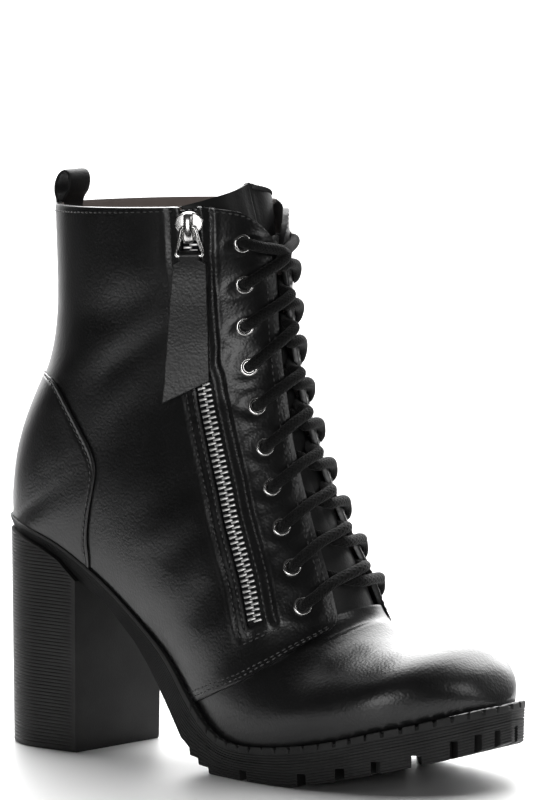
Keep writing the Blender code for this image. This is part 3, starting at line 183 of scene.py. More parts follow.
# Fittings and thin pieces, in millimetres
EYELET_HOLE, EYELET_RADIUS, EYELET_ROLL = 3.0, 3.15, 0.72
BARREL_RADIUS, BARREL_DEPTH, BARREL_WALL = 2.55, 3.4, 0.25
TONGUE_WALL, INSOLE_WALL, TAB_WALL, LOOP_WALL, TAPE_WALL = 1.9, 2.2, 1.9, 1.2, 0.9
SEAM_THREAD, COUNTER_THREAD, WELT_THREAD, OVERLOCK_THREAD = 0.36, 0.34, 0.34, 0.32
WELT_STITCH, WELT_STEP = 3.0, 4.6
TOOTH, TOOTH_PITCH = (3.4, 0.98, 1.2), 2.35
PULL_WIRE, BAIL_HALF, BAIL_FLAT = 0.92, 1.75, 0.34
TAB_LENGTH, TAB_SLANT, TAB_LEAN = 56.5, 4.5, 3.8
LOOP_WIDTH = 14.0
SOLE_RIBS, TICK_PITCH, TICK_WIDTH = 11, 6.8, 1.1
# Point the camera and the soft boxes look at, in metres
AIM = (0.0058, 0.0005, 0.1512)


def size_property(label, words, value, low):
    """A length, given here in millimetres."""
    return bpy.props.FloatProperty(
        name=label, description=words, default=value * MM, min=low * MM, precision=5, unit="LENGTH")


class BootSizes(bpy.types.PropertyGroup):
    """Sizes of the leather, stitching, lace and heel."""
    lap: size_property("Lap", "Height of the quarter over the vamp", 1.2, 0.4)
    leather: size_property("Leather", "Thickness of the vamp", 1.7, 0.8)
    quarter: size_property("Quarter wall", "Thickness of the quarters with lining", 2.5, 1.0)
    counter: size_property("Counter", "Thickness of the heel counter", 0.6, 0.3)
    slot: size_property("Zip opening", "Width of the opening over the zip", 7.0, 4.0)
    lace: size_property("Lace", "Radius of the lace", 2.35, 1.0)
    stitch: size_property("Stitch", "Length of one stitch", 2.1, 0.8)
    stitch_step: size_property("Stitch step", "Distance from stitch to stitch", 2.75, 1.0)
    rib: size_property("Heel rib", "Pitch of the heel's ribs", 1.45, 0.5)


def size_of(name):
    """One of the boot's sizes in millimetres."""
    return getattr(bpy.context.scene.boot_sizes, name) / MM


def colour_property(label, words, value):
    """A colour with its name and description."""
    return bpy.props.FloatVectorProperty(
        name=label, description=words, default=value, size=4, subtype="COLOR", min=0.0, max=1.0)


class BootColours(bpy.types.PropertyGroup):
    """Colours of the finishes."""
    leather: colour_property("Leather", "Black leather of the upper", (0.0060, 0.0060, 0.0062, 1.0))
    lining: colour_property("Lining", "Grey brown lining", (0.27, 0.235, 0.22, 1.0))
    sole: colour_property("Sole", "Black rubber of the sole", (0.017, 0.017, 0.017, 1.0))
    heel: colour_property("Heel", "Black block of the heel", (0.0125, 0.0122, 0.0120, 1.0))
    lace: colour_property("Lace", "Black cord", (0.0042, 0.0042, 0.0042, 1.0))
    # Thread: black thread painted a lighter grey than the leather, a painted glint that makes the stitches show
    # as light dashes
    thread: colour_property("Thread", "Black thread", (0.045, 0.045, 0.045, 1.0))
    metal: colour_property("Metal", "Bright plated metal", (0.78, 0.77, 0.76, 1.0))
    tape: colour_property("Tape", "Woven zip tape", (0.009, 0.009, 0.010, 1.0))


class BootStudio(bpy.types.PropertyGroup):
    """Camera and light."""
    azimuth: bpy.props.FloatProperty(
        name="Azimuth", description="Camera angle round the boot", default=math.radians(36.0), subtype="ANGLE")
    elevation: bpy.props.FloatProperty(
        name="Elevation", description="Camera angle over the floor", default=math.radians(6.15),
        subtype="ANGLE")
    distance: bpy.props.FloatProperty(
        name="Distance", description="Camera to boot", default=2.6, unit="LENGTH")
    lens: bpy.props.FloatProperty(
        name="Lens", description="Focal length on a 36 mm sensor", default=283.1, unit="CAMERA")
    surround: bpy.props.FloatProperty(
        name="Surround", description="Strength of the white surround", default=6.5)
    top: bpy.props.FloatProperty(
        name="Top light", description="Strength of the wide light from above", default=2.6)


# The last, worked out once on a fine net

def spline_through(knots, values):
    """Natural cubic curve through the rows of a table, for arrays of places."""
    step = np.diff(knots)
    count = len(knots)
    lhs = np.eye(count)
    rhs = np.zeros_like(values)
    for i in range(1, count - 1):
        lhs[i, i - 1:i + 2] = step[i - 1], 2 * (step[i - 1] + step[i]), step[i]
        rhs[i] = 6 * ((values[i + 1] - values[i]) / step[i] - (values[i] - values[i - 1]) / step[i - 1])
    bend = np.linalg.solve(lhs, rhs)

    def at(x):
        x = np.atleast_1d(np.asarray(x, float))
        i = np.clip(np.searchsorted(knots, x, side="right") - 1, 0, count - 2)
        d = step[i][:, None]
        u = (x[:, None] - knots[i][:, None]) / d
        v = 1 - u
        cubic = ((v ** 3 - v) * bend[i] + (u ** 3 - u) * bend[i + 1]) * d * d / 6
        return v * values[i] + u * values[i + 1] + cubic
    return at


LAST_TABLE = np.array(LAST)
LAST_AT = spline_through(LAST_TABLE[:, 0], LAST_TABLE[:, 1:])
COL = {name: i for i, name in enumerate(LAST_COLUMNS[1:])}
S_NET = np.unique(np.concatenate([
    np.linspace(0.0, 0.03, 50), np.linspace(0.03, 0.68, 420), np.linspace(0.68, 0.725, 90),
    np.linspace(0.725, 1.0, 200)]))
T_NET = np.linspace(0.0, 1.0, 161)


def unit(vectors):
    """Directions of vectors."""
    return vectors / np.linalg.norm(vectors, axis=-1, keepdims=True)


def run_along(line):
    """Length along a line up to each of its points."""
    return np.concatenate([[0.0], np.cumsum(np.linalg.norm(np.diff(line, axis=0), axis=1))])


def table_at(rows, x, column=1):
    """Value of a table's column at places of its first column."""
    data = np.array(rows)
    return np.interp(x, data[:, 0], data[:, column])


def half_section(row, s, side):
    """Points of one half of a section, feather line to ridge."""
    foot, wide = (row[COL["fl"]], row[COL["wl"]]) if side < 0 else (row[COL["fm"]], row[COL["wm"]])
    hm, yc, fullness, power = row[COL["hm"]], row[COL["yc"]], row[COL["pt"]], row[COL["pb"]]
    angle = np.linspace(0, math.pi / 2, 49)
    low = 1 - np.cos(angle)
    swell = 1 - (1 - low) ** 2
    if s >= S_BACK - 1e-6:
        foot = 0.0
    if s < 0.5:
        y_low = foot + (wide - foot) * swell
    else:
        ends = abs(foot) ** power, abs(wide) ** power
        y_low = side * (ends[0] + (ends[1] - ends[0]) * swell) ** (1 / power)
    h_top = hm + (1 - hm) * np.sin(angle) ** (2 / fullness)
    y_top = yc + (wide - yc) * np.clip(np.cos(angle), 0, 1) ** (2 / fullness)
    h = np.concatenate([hm * low, h_top[1:]])
    y = np.concatenate([y_low, y_top[1:]])
    x = row[COL["bx"]] + (row[COL["tx"]] - row[COL["bx"]]) * h
    z = row[COL["bz"]] + (row[COL["tz"]] - row[COL["bz"]]) * h
    return np.stack([x, y, z], -1)


def fair_heel(points, first=0.684, last=0.734, step=8):
    """Even the heel's back between two sections, where the feather line turns up into the back seam."""
    a, b = np.searchsorted(S_NET, (first, last))
    span = S_NET[b] - S_NET[a]
    u = ((S_NET[a:b + 1] - S_NET[a]) / span)[:, None, None]
    lead = (points[a] - points[a - step]) / (S_NET[a] - S_NET[a - step]) * span
    trail = (points[b + step] - points[b]) / (S_NET[b + step] - S_NET[b]) * span
    fair = ((2 * u ** 3 - 3 * u ** 2 + 1) * points[a] + (u ** 3 - 2 * u ** 2 + u) * lead
            + (3 * u ** 2 - 2 * u ** 3) * points[b] + (u ** 3 - u ** 2) * trail)
    share = np.minimum(np.clip(T_NET / 0.05, 0, 1), np.clip((0.36 - T_NET) / 0.16, 0, 1))[None, :, None]
    share = share * share * (3 - 2 * share)
    points[a:b + 1] = points[a:b + 1] * (1 - share) + fair * share
    back = (S_NET >= S_BACK) & (S_NET <= S_NET[b])
    points[back, 0, 0] = np.interp(points[back, 0, 2], points[back, 0, 2][[0, -1]], points[back, 0, 0][[0, -1]])
    return points


def make_net(side):
    """Points, outward directions, section lengths and throat places of one half of the last."""
    rows = LAST_AT(S_NET)
    points = np.zeros((len(S_NET), len(T_NET), 3))
    lengths = np.zeros(len(S_NET))
    throats = np.zeros(len(S_NET))
    for i, s in enumerate(S_NET):
        line = half_section(rows[i], s, side)
        run = run_along(line)
        lengths[i] = max(run[-1], 0.5)
        for k in range(3):
            points[i, :, k] = np.interp(T_NET * run[-1], run, line[:, k])
        half = len(line) // 2
        away = np.abs(line[half:, 1] - rows[i][COL["yc"]])
        throats[i] = np.interp(-rows[i][COL["gp"]], -away, run[half:]) / lengths[i]
    points = fair_heel(points)
    along = np.gradient(points, S_NET, axis=0)
    over = np.gradient(points, T_NET, axis=1)
    normal = side * np.cross(along, over)
    normal = normal / np.maximum(np.linalg.norm(normal, axis=2, keepdims=True), 1e-9)
    first = int(np.searchsorted(S_NET, 0.006))
    normal[:first] = normal[first]
    level = np.clip((S_NET - 0.52) / 0.08, 0, 1) * (S_NET < S_BACK)
    normal[:, :, 2] *= 1 - level[:, None] * np.clip(1 - T_NET / 0.07, 0, 1)[None]
    heel = np.exp(-((S_NET - S_BACK) / 0.014) ** 2)[:, None] * np.clip(1.3 - T_NET / 0.16, 0, 1)[None]
    round_out = unit(points * np.array([1.0, 1.0, 0.0]) - np.array([HEEL_CENTRE, 0.0, 0.0]))
    normal = unit(normal * (1 - heel[:, :, None]) + round_out * heel[:, :, None])
    return points, normal, lengths, throats


NETS = {side: make_net(side) for side in (LATERAL, MEDIAL)}


def share_normals():
    """Both halves take one outward direction on the ridge and on the back seam."""
    low, high = NETS[LATERAL][1], NETS[MEDIAL][1]
    back = S_NET >= S_BACK - 0.002
    for rows, column in ((slice(None), -1), (back, 0)):
        mean = low[rows, column] + high[rows, column]
        mean[:, 1] = 0.0
        low[rows, column] = high[rows, column] = unit(mean)


share_normals()


def look_up(values, s, t):
    """Value of a net at arrays of places."""
    i = np.clip(np.searchsorted(S_NET, s, side="right") - 1, 0, len(S_NET) - 2)
    fs = np.clip((s - S_NET[i]) / (S_NET[i + 1] - S_NET[i]), 0, 1)[:, None]
    at = np.clip(t, 0, 1) * (len(T_NET) - 1)
    j = np.minimum(at.astype(int), len(T_NET) - 2)
    ft = (at - j)[:, None]
    low = values[i, j] * (1 - ft) + values[i, j + 1] * ft
    high = values[i + 1, j] * (1 - ft) + values[i + 1, j + 1] * ft
    return low * (1 - fs) + high * fs


def seat(points):
    """Millimetres of the last to metres of the part."""
    return (np.asarray(points) - np.array([X_MID, Y_MID, 0.0])) * MM


def last_point(s, t, side):
    """Point and outward direction on the last in its millimetres; s above 1 goes up past the collar."""
    s, t, side = np.broadcast_arrays(np.atleast_1d(np.asarray(s, float)), t, side)
    inside = np.clip(s, 0.0, 1.0)
    point = np.zeros((len(s), 3))
    normal = np.zeros((len(s), 3))
    for half in (LATERAL, MEDIAL):
        mask = side == half
        if mask.any():
            point[mask] = look_up(NETS[half][0], inside[mask], t[mask])
            normal[mask] = look_up(NETS[half][1], inside[mask], t[mask])
    point[:, 2] += np.maximum(s - 1.0, 0.0) * COLLAR_RISE
    return point, unit(normal)


def on_last(s, t, side, lift):
    """Places over the last, in metres of the part."""
    point, normal = last_point(s, t, side)
    return seat(point + normal * np.reshape(lift, (-1, 1)))


def length_at(s, side):
    """Length of a section's half, in millimetres."""
    return np.interp(s, S_NET, NETS[side][2])


def throat_at(s, side):
    """Place t of the throat's edge."""
    return np.interp(s, S_NET, NETS[side][3])


def zip_t(s):
    """Place t of the zip line."""
    return table_at(ZIP_LINE, s)


def relief(s, t, side):
    """Soft creases and the pull of the eyelets, in millimetres of lift."""
    span = length_at(s, side)
    a, b = s * S_LENGTH, t * span
    lift = 0.12 * np.sin(a / 13.0 + b / 21.0) * np.sin(b / 15.0 - a / 24.0) * np.clip((s - 0.34) / 0.06, 0, 1)
    for half, s0, t0, s1, t1, width, depth in CREASES:
        if half != side:
            continue
        mid = length_at((s0 + s1) / 2, side)
        p, q = np.array([s0 * S_LENGTH, t0 * mid]), np.array([s1 * S_LENGTH, t1 * mid])
        d = q - p
        u = np.clip(((a - p[0]) * d[0] + (b - p[1]) * d[1]) / (d @ d), 0, 1)
        gap = np.hypot(a - p[0] - u * d[0], b - p[1] - u * d[1])
        fade = np.sin(math.pi * np.clip(u * 0.92 + 0.04, 0, 1)) ** 0.7
        lift = lift - depth * fade * np.exp(-(gap / width) ** 2)
        lift = lift + 0.35 * depth * fade * np.exp(-((gap - 1.9 * width) / width) ** 2)
    for es, et in EYELETS:
        gap = np.hypot((s - es) * S_LENGTH, (t - et) * span)
        for height, ring, width in PUCKERS:
            lift = lift + height * np.exp(-((gap - ring) / width) ** 2)
    return lift


# Mesh helpers

def activate(item):
    """Select one object alone."""
    bpy.ops.object.select_all(action="DESELECT")
    item.select_set(True)
    bpy.context.view_layer.objects.active = item


def apply_modifiers(item):
    """Apply an object's modifiers in order."""
    activate(item)
    for mod in list(item.modifiers):
        bpy.ops.object.modifier_apply(modifier=mod.name)


def clean(item, dist=0.00001, outward=False):
    """Merge doubles, drop slivers and, on a closed shell, turn the faces outward."""
    activate(item)
    bpy.ops.object.mode_set(mode="EDIT")
    bpy.ops.mesh.select_all(action="SELECT")
    bpy.ops.mesh.remove_doubles(threshold=dist)
    bpy.ops.mesh.dissolve_degenerate(threshold=dist / 5)
    if outward:
        bpy.ops.mesh.normals_make_consistent(inside=False)
    bpy.ops.object.mode_set(mode="OBJECT")


def lay_sheet(name, across, along, place, keep=None):
    """Grid primitive laid on a surface: place gives points for u, v and a lift; keep picks faces."""
    bpy.ops.object.select_all(action="DESELECT")
    bpy.ops.mesh.primitive_grid_add(x_subdivisions=across, y_subdivisions=along, size=2)
    item = bpy.context.object
    item.name = item.data.name = name
    mesh = item.data
    flat = np.empty(len(mesh.vertices) * 3)
    mesh.vertices.foreach_get("co", flat)
    flat = flat.reshape(-1, 3)
    u, v = (flat[:, 0] + 1) / 2, (flat[:, 1] + 1) / 2
    base = place(u, v, 0.0)
    outward = place(u, v, 1.0) - base
    drop = []
    if keep is not None:
        centre = np.empty(len(mesh.polygons) * 3)
        mesh.polygons.foreach_get("center", centre)
        centre = (centre.reshape(-1, 3) + 1) / 2
        drop = np.nonzero(~keep(centre[:, 0], centre[:, 1]))[0]
    mesh.vertices.foreach_set("co", base.astype(np.float32).ravel())
    mesh.update()
    way = np.empty(len(mesh.vertices) * 3)
    mesh.vertices.foreach_get("normal", way)
    if (way.reshape(-1, 3) * outward).sum() < 0:
        mesh.flip_normals()
    if len(drop):
        bm = bmesh.new()
        bm.from_mesh(mesh)
        bm.faces.ensure_lookup_table()
        bmesh.ops.delete(bm, geom=[bm.faces[i] for i in drop], context="FACES")
        bm.to_mesh(mesh)
        bm.free()
    return item


def soften(item, width, segments, angle=30.0):
    """Round the edges sharper than an angle; width in millimetres."""
    soft = item.modifiers.new("edge", "BEVEL")
    soft.width = width * MM
    soft.segments = segments
    soft.limit_method = "ANGLE"
    soft.angle_limit = math.radians(angle)


def give_wall(item, thick, edge=0.35, inner=False):
    """Thickness inward from the laid face, with its rim softened; sizes in millimetres."""
    clean(item)
    wall = item.modifiers.new("wall", "SOLIDIFY")
    wall.thickness = thick * MM
    wall.offset = -1.0
    if inner:
        item.data.materials.append(None)
        item.data.materials.append(None)
        wall.material_offset = 1
    if edge:
        soften(item, edge, 2, 55.0)
    apply_modifiers(item)
    return item


def mesh_piece(name, points, faces):
    """New object of points and faces."""
    mesh = bpy.data.meshes.new(name)
    mesh.from_pydata([tuple(p) for p in points], [], [tuple(f) for f in faces])
    item = bpy.data.objects.new(name, mesh)
    bpy.context.scene.collection.objects.link(item)
    return item


def ring_faces(loops, count):
    """Quads between closed loops of points that follow each other."""
    return [(i * count + j, i * count + (j + 1) % count, (i + 1) * count + (j + 1) % count, (i + 1) * count + j)
            for i in range(loops - 1) for j in range(count)]


def take_shape(item):
    """Points and faces of a template, which is then removed."""
    points = np.array([v.co[:] for v in item.data.vertices])
    faces = [tuple(p.vertices) for p in item.data.polygons]
    bpy.data.objects.remove(item, do_unlink=True)
    return points, faces


def join(name, items):
    """Objects joined into one."""
    bpy.ops.object.select_all(action="DESELECT")
    for item in items:
        item.select_set(True)
    bpy.context.view_layer.objects.active = items[0]
    if len(items) > 1:
        bpy.ops.object.join()
    items[0].name = items[0].data.name = name
    return items[0]


def finish_piece(item, materials, nodes=(), body=BOOT, angle=50.0):
    """Materials, smooth shading, body and the nodes this piece stands for."""
    if not item.data.polygons:
        raise RuntimeError("%s has no faces" % item.name)
    materials = materials if isinstance(materials, (list, tuple)) else [materials]
    inside = [face.material_index for face in item.data.polygons]
    item.data.materials.clear()
    for mat in materials:
        item.data.materials.append(mat)
    item.data.polygons.foreach_set("material_index", inside)
    activate(item)
    bpy.ops.object.shade_smooth_by_angle(angle=math.radians(angle), keep_sharp_edges=False)
    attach(item, body)
    if nodes:
        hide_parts(*nodes)
    return item


def sweep_tube(name, path, radius, around=12, closed=False, flat=1.0, guide=None):
    """Round bar along a path in metres; flat squeezes it along its second direction."""
    path = np.asarray(path, float)
    n = len(path)
    tangent = unit(np.roll(path, -1, 0) - np.roll(path, 1, 0) if closed else np.gradient(path, axis=0))
    side = np.zeros((n, 3))
    start = np.array(guide if guide is not None else (0.0, 0.0, 1.0), float)
    if abs(start @ tangent[0]) > 0.9 * np.linalg.norm(start):
        start = np.array([1.0, 0.0, 0.0])
    for i in range(n):
        start = side[i] = unit(start - tangent[i] * (start @ tangent[i]))
    other = np.cross(tangent, side)
    loops = n + 1 if closed else n

    def place(u, v, lift):
        at = np.rint(v * (loops - 1)).astype(int) % n
        turn = u * 2 * math.pi
        r = radius + lift * 1e-5
        a, b = np.cos(turn) * r, np.sin(turn) * r * flat
        return path[at] + a[:, None] * side[at] + b[:, None] * other[at]

    item = lay_sheet(name, around, loops - 1, place)
    clean(item, 1e-6)
    if not closed:
        bm = bmesh.new()
        bm.from_mesh(item.data)
        rim = [e for e in bm.edges if e.is_boundary]
        bmesh.ops.holes_fill(bm, edges=rim, sides=0)
        bm.to_mesh(item.data)
        bm.free()
    return item


def smooth_path(points, steps, closed=False):
    """Catmull-Rom curve through given points."""
    pts = np.asarray(points, float)
    n = len(pts)
    out = []
    last = n if closed else n - 1
    for i in range(last):
        if closed:
            a, b, c, d = (pts[(i + k) % n] for k in (-1, 0, 1, 2))
        else:
            b, c = pts[i], pts[i + 1]
            a = pts[i - 1] if i else 2 * b - c
            d = pts[i + 2] if i + 2 < n else 2 * c - b
        for u in np.linspace(0, 1, steps, endpoint=False):
            out.append(0.5 * (2 * b + (c - a) * u + (2 * a - 5 * b + 4 * c - d) * u * u
                              + (3 * b - a - 3 * c + d) * u ** 3))
    if not closed:
        out.append(pts[-1])
    return np.array(out)


# Materials

class Nodes:
    """Small helper that adds and joins shader nodes."""

    def __init__(self, name):
        self.mat = bpy.data.materials.new(name)
        self.mat.use_nodes = True
        self.tree = self.mat.node_tree
        self.shader = self.tree.nodes["Principled BSDF"]
        self.coord = self.tree.nodes.new("ShaderNodeTexCoord")

    def add(self, kind, inputs=None, **settings):
        """New node with its settings; inputs are sockets or values."""
        node = self.tree.nodes.new(kind)
        for key, value in settings.items():
            setattr(node, key, value)
        for key, value in (inputs or {}).items():
            if hasattr(value, "is_output"):
                self.tree.links.new(value, node.inputs[key])
            else:
                node.inputs[key].default_value = value
        return node

    def link(self, output, socket):
        """Join an output to the surface."""
        self.tree.links.new(output, self.shader.inputs[socket])

    def set(self, **values):
        """Values of the surface's own inputs."""
        for key, value in values.items():
            self.shader.inputs[key.replace("_", " ")].default_value = value

    def spread(self, factor, stops):
        """Colour ramp over a factor."""
        ramp = self.add("ShaderNodeValToRGB", {"Fac": factor})
        while len(ramp.color_ramp.elements) < len(stops):
            ramp.color_ramp.elements.new(0.5)
        for element, (place, colour) in zip(ramp.color_ramp.elements, stops):
            element.position = place
            element.color = colour
        return ramp.outputs["Color"]

    def noise(self, scale, detail, roughness=0.5):
        """Noise over the piece's own place."""
        place = self.coord.outputs["Object"]
        inputs = {"Vector": place, "Scale": scale, "Detail": detail, "Roughness": roughness}
        return self.add("ShaderNodeTexNoise", inputs)

    def sum(self, kind, *values):
        """Result of one sum on sockets and numbers."""
        return self.add("ShaderNodeMath", dict(enumerate(values)), operation=kind).outputs["Value"]

    def bump(self, height, strength, distance, **settings):
        """Normals raised by a height."""
        inputs = {"Height": height, "Strength": strength, "Distance": distance}
        return self.add("ShaderNodeBump", inputs, **settings)

    def scale(self, value, low, high):
        """Value from 0 to 1 spread from low to high."""
        node = self.add("ShaderNodeMapRange", {"Value": value, "To Min": low, "To Max": high})
        return node.outputs["Result"]


def tint(colour, factor):
    """Colour made darker or lighter."""
    return tuple(min(1.0, c * factor) for c in colour[:3]) + (1.0,)


def leather_finish(name, colour, rough, shine=0.5, pebble=880.0, depth=0.00010):
    """Grained leather: pebbles, soft folds, colour and gloss changes."""
    n = Nodes(name)
    warp = n.noise(320.0, 2.0)
    bent = n.add("ShaderNodeVectorMath", {0: warp.outputs["Color"], 1: (0.0006, 0.0006, 0.0006),
                                          2: n.coord.outputs["Object"]}, operation="MULTIPLY_ADD")
    cells = n.add("ShaderNodeTexVoronoi", {"Vector": bent.outputs["Vector"], "Scale": pebble,
                                           "Smoothness": 0.6}, feature="SMOOTH_F1")
    folds = n.noise(95.0, 1.5).outputs["Fac"]
    broad = n.noise(26.0, 3.0).outputs["Fac"]
    grain = n.bump(cells.outputs["Distance"], 0.8, depth, invert=True)
    soft = n.bump(folds, 0.3, 0.00025)
    n.tree.links.new(grain.outputs["Normal"], soft.inputs["Normal"])
    n.link(soft.outputs["Normal"], "Normal")
    n.link(n.spread(broad, [(0.3, tint(colour, 0.75)), (0.7, tint(colour, 1.5))]), "Base Color")
    n.link(n.scale(folds, rough - 0.05, rough + 0.09), "Roughness")
    n.set(Coat_Weight=0.24 * shine, Coat_Roughness=0.28, Specular_IOR_Level=shine)
    return n.mat


def noisy_finish(name, colour, fine, bump, stops, rough, broad=None, **sockets):
    """Fine noise in relief and gloss, a broad or the same noise in colour; stops are place and tint."""
    n = Nodes(name)
    specks = n.noise(*fine).outputs["Fac"]
    patches = n.noise(*broad).outputs["Fac"] if broad else specks
    n.link(n.bump(specks, *bump).outputs["Normal"], "Normal")
    n.link(n.spread(patches, [(at, tint(colour, share)) for at, share in stops]), "Base Color")
    n.link(n.scale(specks, *rough), "Roughness")
    n.set(**sockets)
    return n.mat


def lining_finish(name, colour):
    """Soft lining with a fine knit."""
    return noisy_finish(name, colour, (1500.0, 2.0), (0.5, 0.0002), ((0.3, 0.8), (0.7, 1.25)), (0.78, 0.95),
                        (40.0, 3.0), Sheen_Weight=0.25, Sheen_Roughness=0.5)


def rubber_finish(name, colour, rough):
    """Moulded rubber with dust grey in the texture."""
    return noisy_finish(name, colour, (1400.0, 3.0), (0.45, 0.00015), ((0.35, 0.8), (0.75, 1.6)),
                        (rough - 0.08, rough + 0.14), (55.0, 4.0), Specular_IOR_Level=0.3)


def metal_finish(name, colour, rough):
    """Bright plating with faint handling marks."""
    return noisy_finish(name, colour, (420.0, 4.0, 0.7), (0.05, 0.00003), ((0.3, 0.86), (0.7, 1.0)),
                        (rough - 0.06, rough + 0.10), Metallic=1.0)


def thread_finish(name, colour, rough=0.42):
    """Waxed thread."""
    return noisy_finish(name, colour, (2400.0, 2.0), (0.4, 0.0001), ((0.3, 0.8), (0.7, 2.0)),
                        (rough - 0.1, rough + 0.1))


def cord_finish(name, colour, turns, picks):
    """Braided cord: two crossing sets of yarns read from the tube's own map."""
    n = Nodes(name)
    parts = n.add("ShaderNodeSeparateXYZ", {"Vector": n.coord.outputs["UV"]})
    along = n.sum("MULTIPLY", parts.outputs["Y"], picks * 2 * math.pi)
    waves = [n.sum("SINE", n.sum("MULTIPLY_ADD", parts.outputs["X"], sign * turns * 2 * math.pi, along))
             for sign in (1.0, -1.0)]
    weave = n.sum("MAXIMUM", *waves)
    fuzz = n.noise(3000.0, 2.0).outputs["Fac"]
    height = n.sum("MULTIPLY_ADD", fuzz, 0.6, weave)
    n.link(n.bump(height, 0.6, 0.00018).outputs["Normal"], "Normal")
    stops = [(0.2, tint(colour, 0.5)), (0.9, tint(colour, 1.7))]
    n.link(n.spread(n.scale(weave, -0.4, 1.0), stops), "Base Color")
    n.link(n.scale(fuzz, 0.72, 0.92), "Roughness")
    n.set(Sheen_Weight=0.08, Sheen_Roughness=0.4, Specular_IOR_Level=0.25)
    return n.mat


def tape_finish(name, colour):
    """Woven tape: ribs across and along its own map."""
    n = Nodes(name)
    parts = n.add("ShaderNodeSeparateXYZ", {"Vector": n.coord.outputs["UV"]})
    ribs = [n.sum("SINE", n.sum("MULTIPLY", parts.outputs[axis], count))
            for axis, count in (("Y", 1300.0), ("X", 90.0))]
    weave = n.sum("MAXIMUM", *ribs)
    n.link(n.bump(weave, 0.6, 0.0002).outputs["Normal"], "Normal")
    stops = [(0.2, tint(colour, 0.6)), (0.9, tint(colour, 1.8))]
    n.link(n.spread(n.scale(weave, 0.0, 1.0), stops), "Base Color")
    n.link(n.scale(weave, 0.70, 0.88), "Roughness")
    return n.mat


FINISHES = {}


def finish(name):
    """Material of a given finish, made the first time it is asked for."""
    if name not in FINISHES:
        c = bpy.context.scene.boot_colours
        makers = {
            "upper": lambda: leather_finish("grained_leather", c.leather, 0.31),
            "counter": lambda: leather_finish("counter_grain", c.leather, 0.30),
            "tongue": lambda: leather_finish("tongue_grain", c.leather, 0.56, 0.3),
            # The tab is the upper's black leather painted a tenth lighter: its own leather with a painted sheen
            "tab": lambda: leather_finish("tab_grain_and_sheen", tint(c.leather, 1.1), 0.37, depth=0.00013),
            "lining": lambda: lining_finish("collar_lining", c.lining),
            "insole": lambda: lining_finish("sock_lining", tint(c.lining, 0.6)),
            "sole": lambda: rubber_finish("sole_moulding", c.sole, 0.56),
            "heel": lambda: rubber_finish("heel_moulding", c.heel, 0.52),
            "metal": lambda: metal_finish("zip_plating", c.metal, 0.20),
            "teeth": lambda: metal_finish("teeth_plating", tint(c.metal, 1.2), 0.42),
            "eyelet": lambda: metal_finish("eyelet_plating", c.metal, 0.18),
            "lace": lambda: cord_finish("lace_braid", c.lace, 7.0, 48.0),
            "tape": lambda: tape_finish("zip_weave", c.tape),
            # The seam thread carries the thread's painted glint; the welt thread takes half of that grey
            "thread": lambda: thread_finish("seam_thread_painted_glint", c.thread),
            "welt_thread": lambda: thread_finish("welt_thread", tint(c.thread, 0.5), 0.45),
        }
        FINISHES[name] = makers[name]()
    return FINISHES[name]


# Stitching

def thread_template():
    """One stitch: a small sphere to be stretched."""
    bpy.ops.object.select_all(action="DESELECT")
    bpy.ops.mesh.primitive_uv_sphere_add(segments=6, ring_count=4, radius=1.0)
    return take_shape(bpy.context.object)


def stitch_rows(name, rows, length, step, radius, mat, body=BOOT, sink=0.25):
    """One mesh of short threads along rows of (points, outward) in metres."""
    shape, faces = thread_template()
    points, polygons = [], []
    for line, outward in rows:
        line, outward = np.asarray(line), np.asarray(outward)
        run = run_along(line)
        count = max(int(run[-1] / (step * MM)), 1)
        for k in range(count):
            at = (k + 0.5) * run[-1] / count
            ends = [np.array([np.interp(at + d, run, line[:, i]) for i in range(3)])
                    for d in (-length * MM / 2, length * MM / 2)]
            up = unit(np.array([np.interp(at, run, outward[:, i]) for i in range(3)]))
            along = (ends[1] - ends[0]) / 2
            if np.linalg.norm(along) < 1e-6:
                continue
            thick = radius * MM
            side = unit(np.cross(up, along))
            centre = (ends[0] + ends[1]) / 2 - up * thick * sink
            start = len(points)
            local = shape[:, :1] * along + shape[:, 1:2] * side * thick + shape[:, 2:] * up * thick
            points.extend(centre + local)
            polygons.extend(tuple(start + i for i in f) for f in faces)
    item = mesh_piece(name, points, polygons)
    return finish_piece(item, mat, body=body, angle=80.0)


def row_on(s, t, side, lift):
    """Row of points and outward directions on the leather."""
    point, normal = last_point(s, t, side)
    lift = np.reshape(lift, (-1, 1))
    return seat(point + normal * lift), normal


# Upper

def vamp_place(u, v, lift):
    """Placing function of the vamp."""
    side = np.where(u < 0.5, LATERAL, MEDIAL)
    t = np.where(u < 0.5, 2 * u, 2 * (1 - u))
    t = np.clip(t, 0, 1)
    s = v * 0.34
    for _ in range(3):
        throat = np.where(side < 0, throat_at(s, LATERAL), throat_at(s, MEDIAL))
        c = np.clip(t / np.maximum(throat, 0.05), 0, 1)
        top = table_at(SEAM, c) + 0.020 * np.clip((0.99 - c) / 0.06, 0.08, 1)
        s = top * v ** 1.15
    bend = np.where(side < 0, relief(s, t, LATERAL), relief(s, t, MEDIAL))
    fade = np.clip(s / 0.06, 0, 1)
    return on_last(s, t, side, lift + bend * fade)


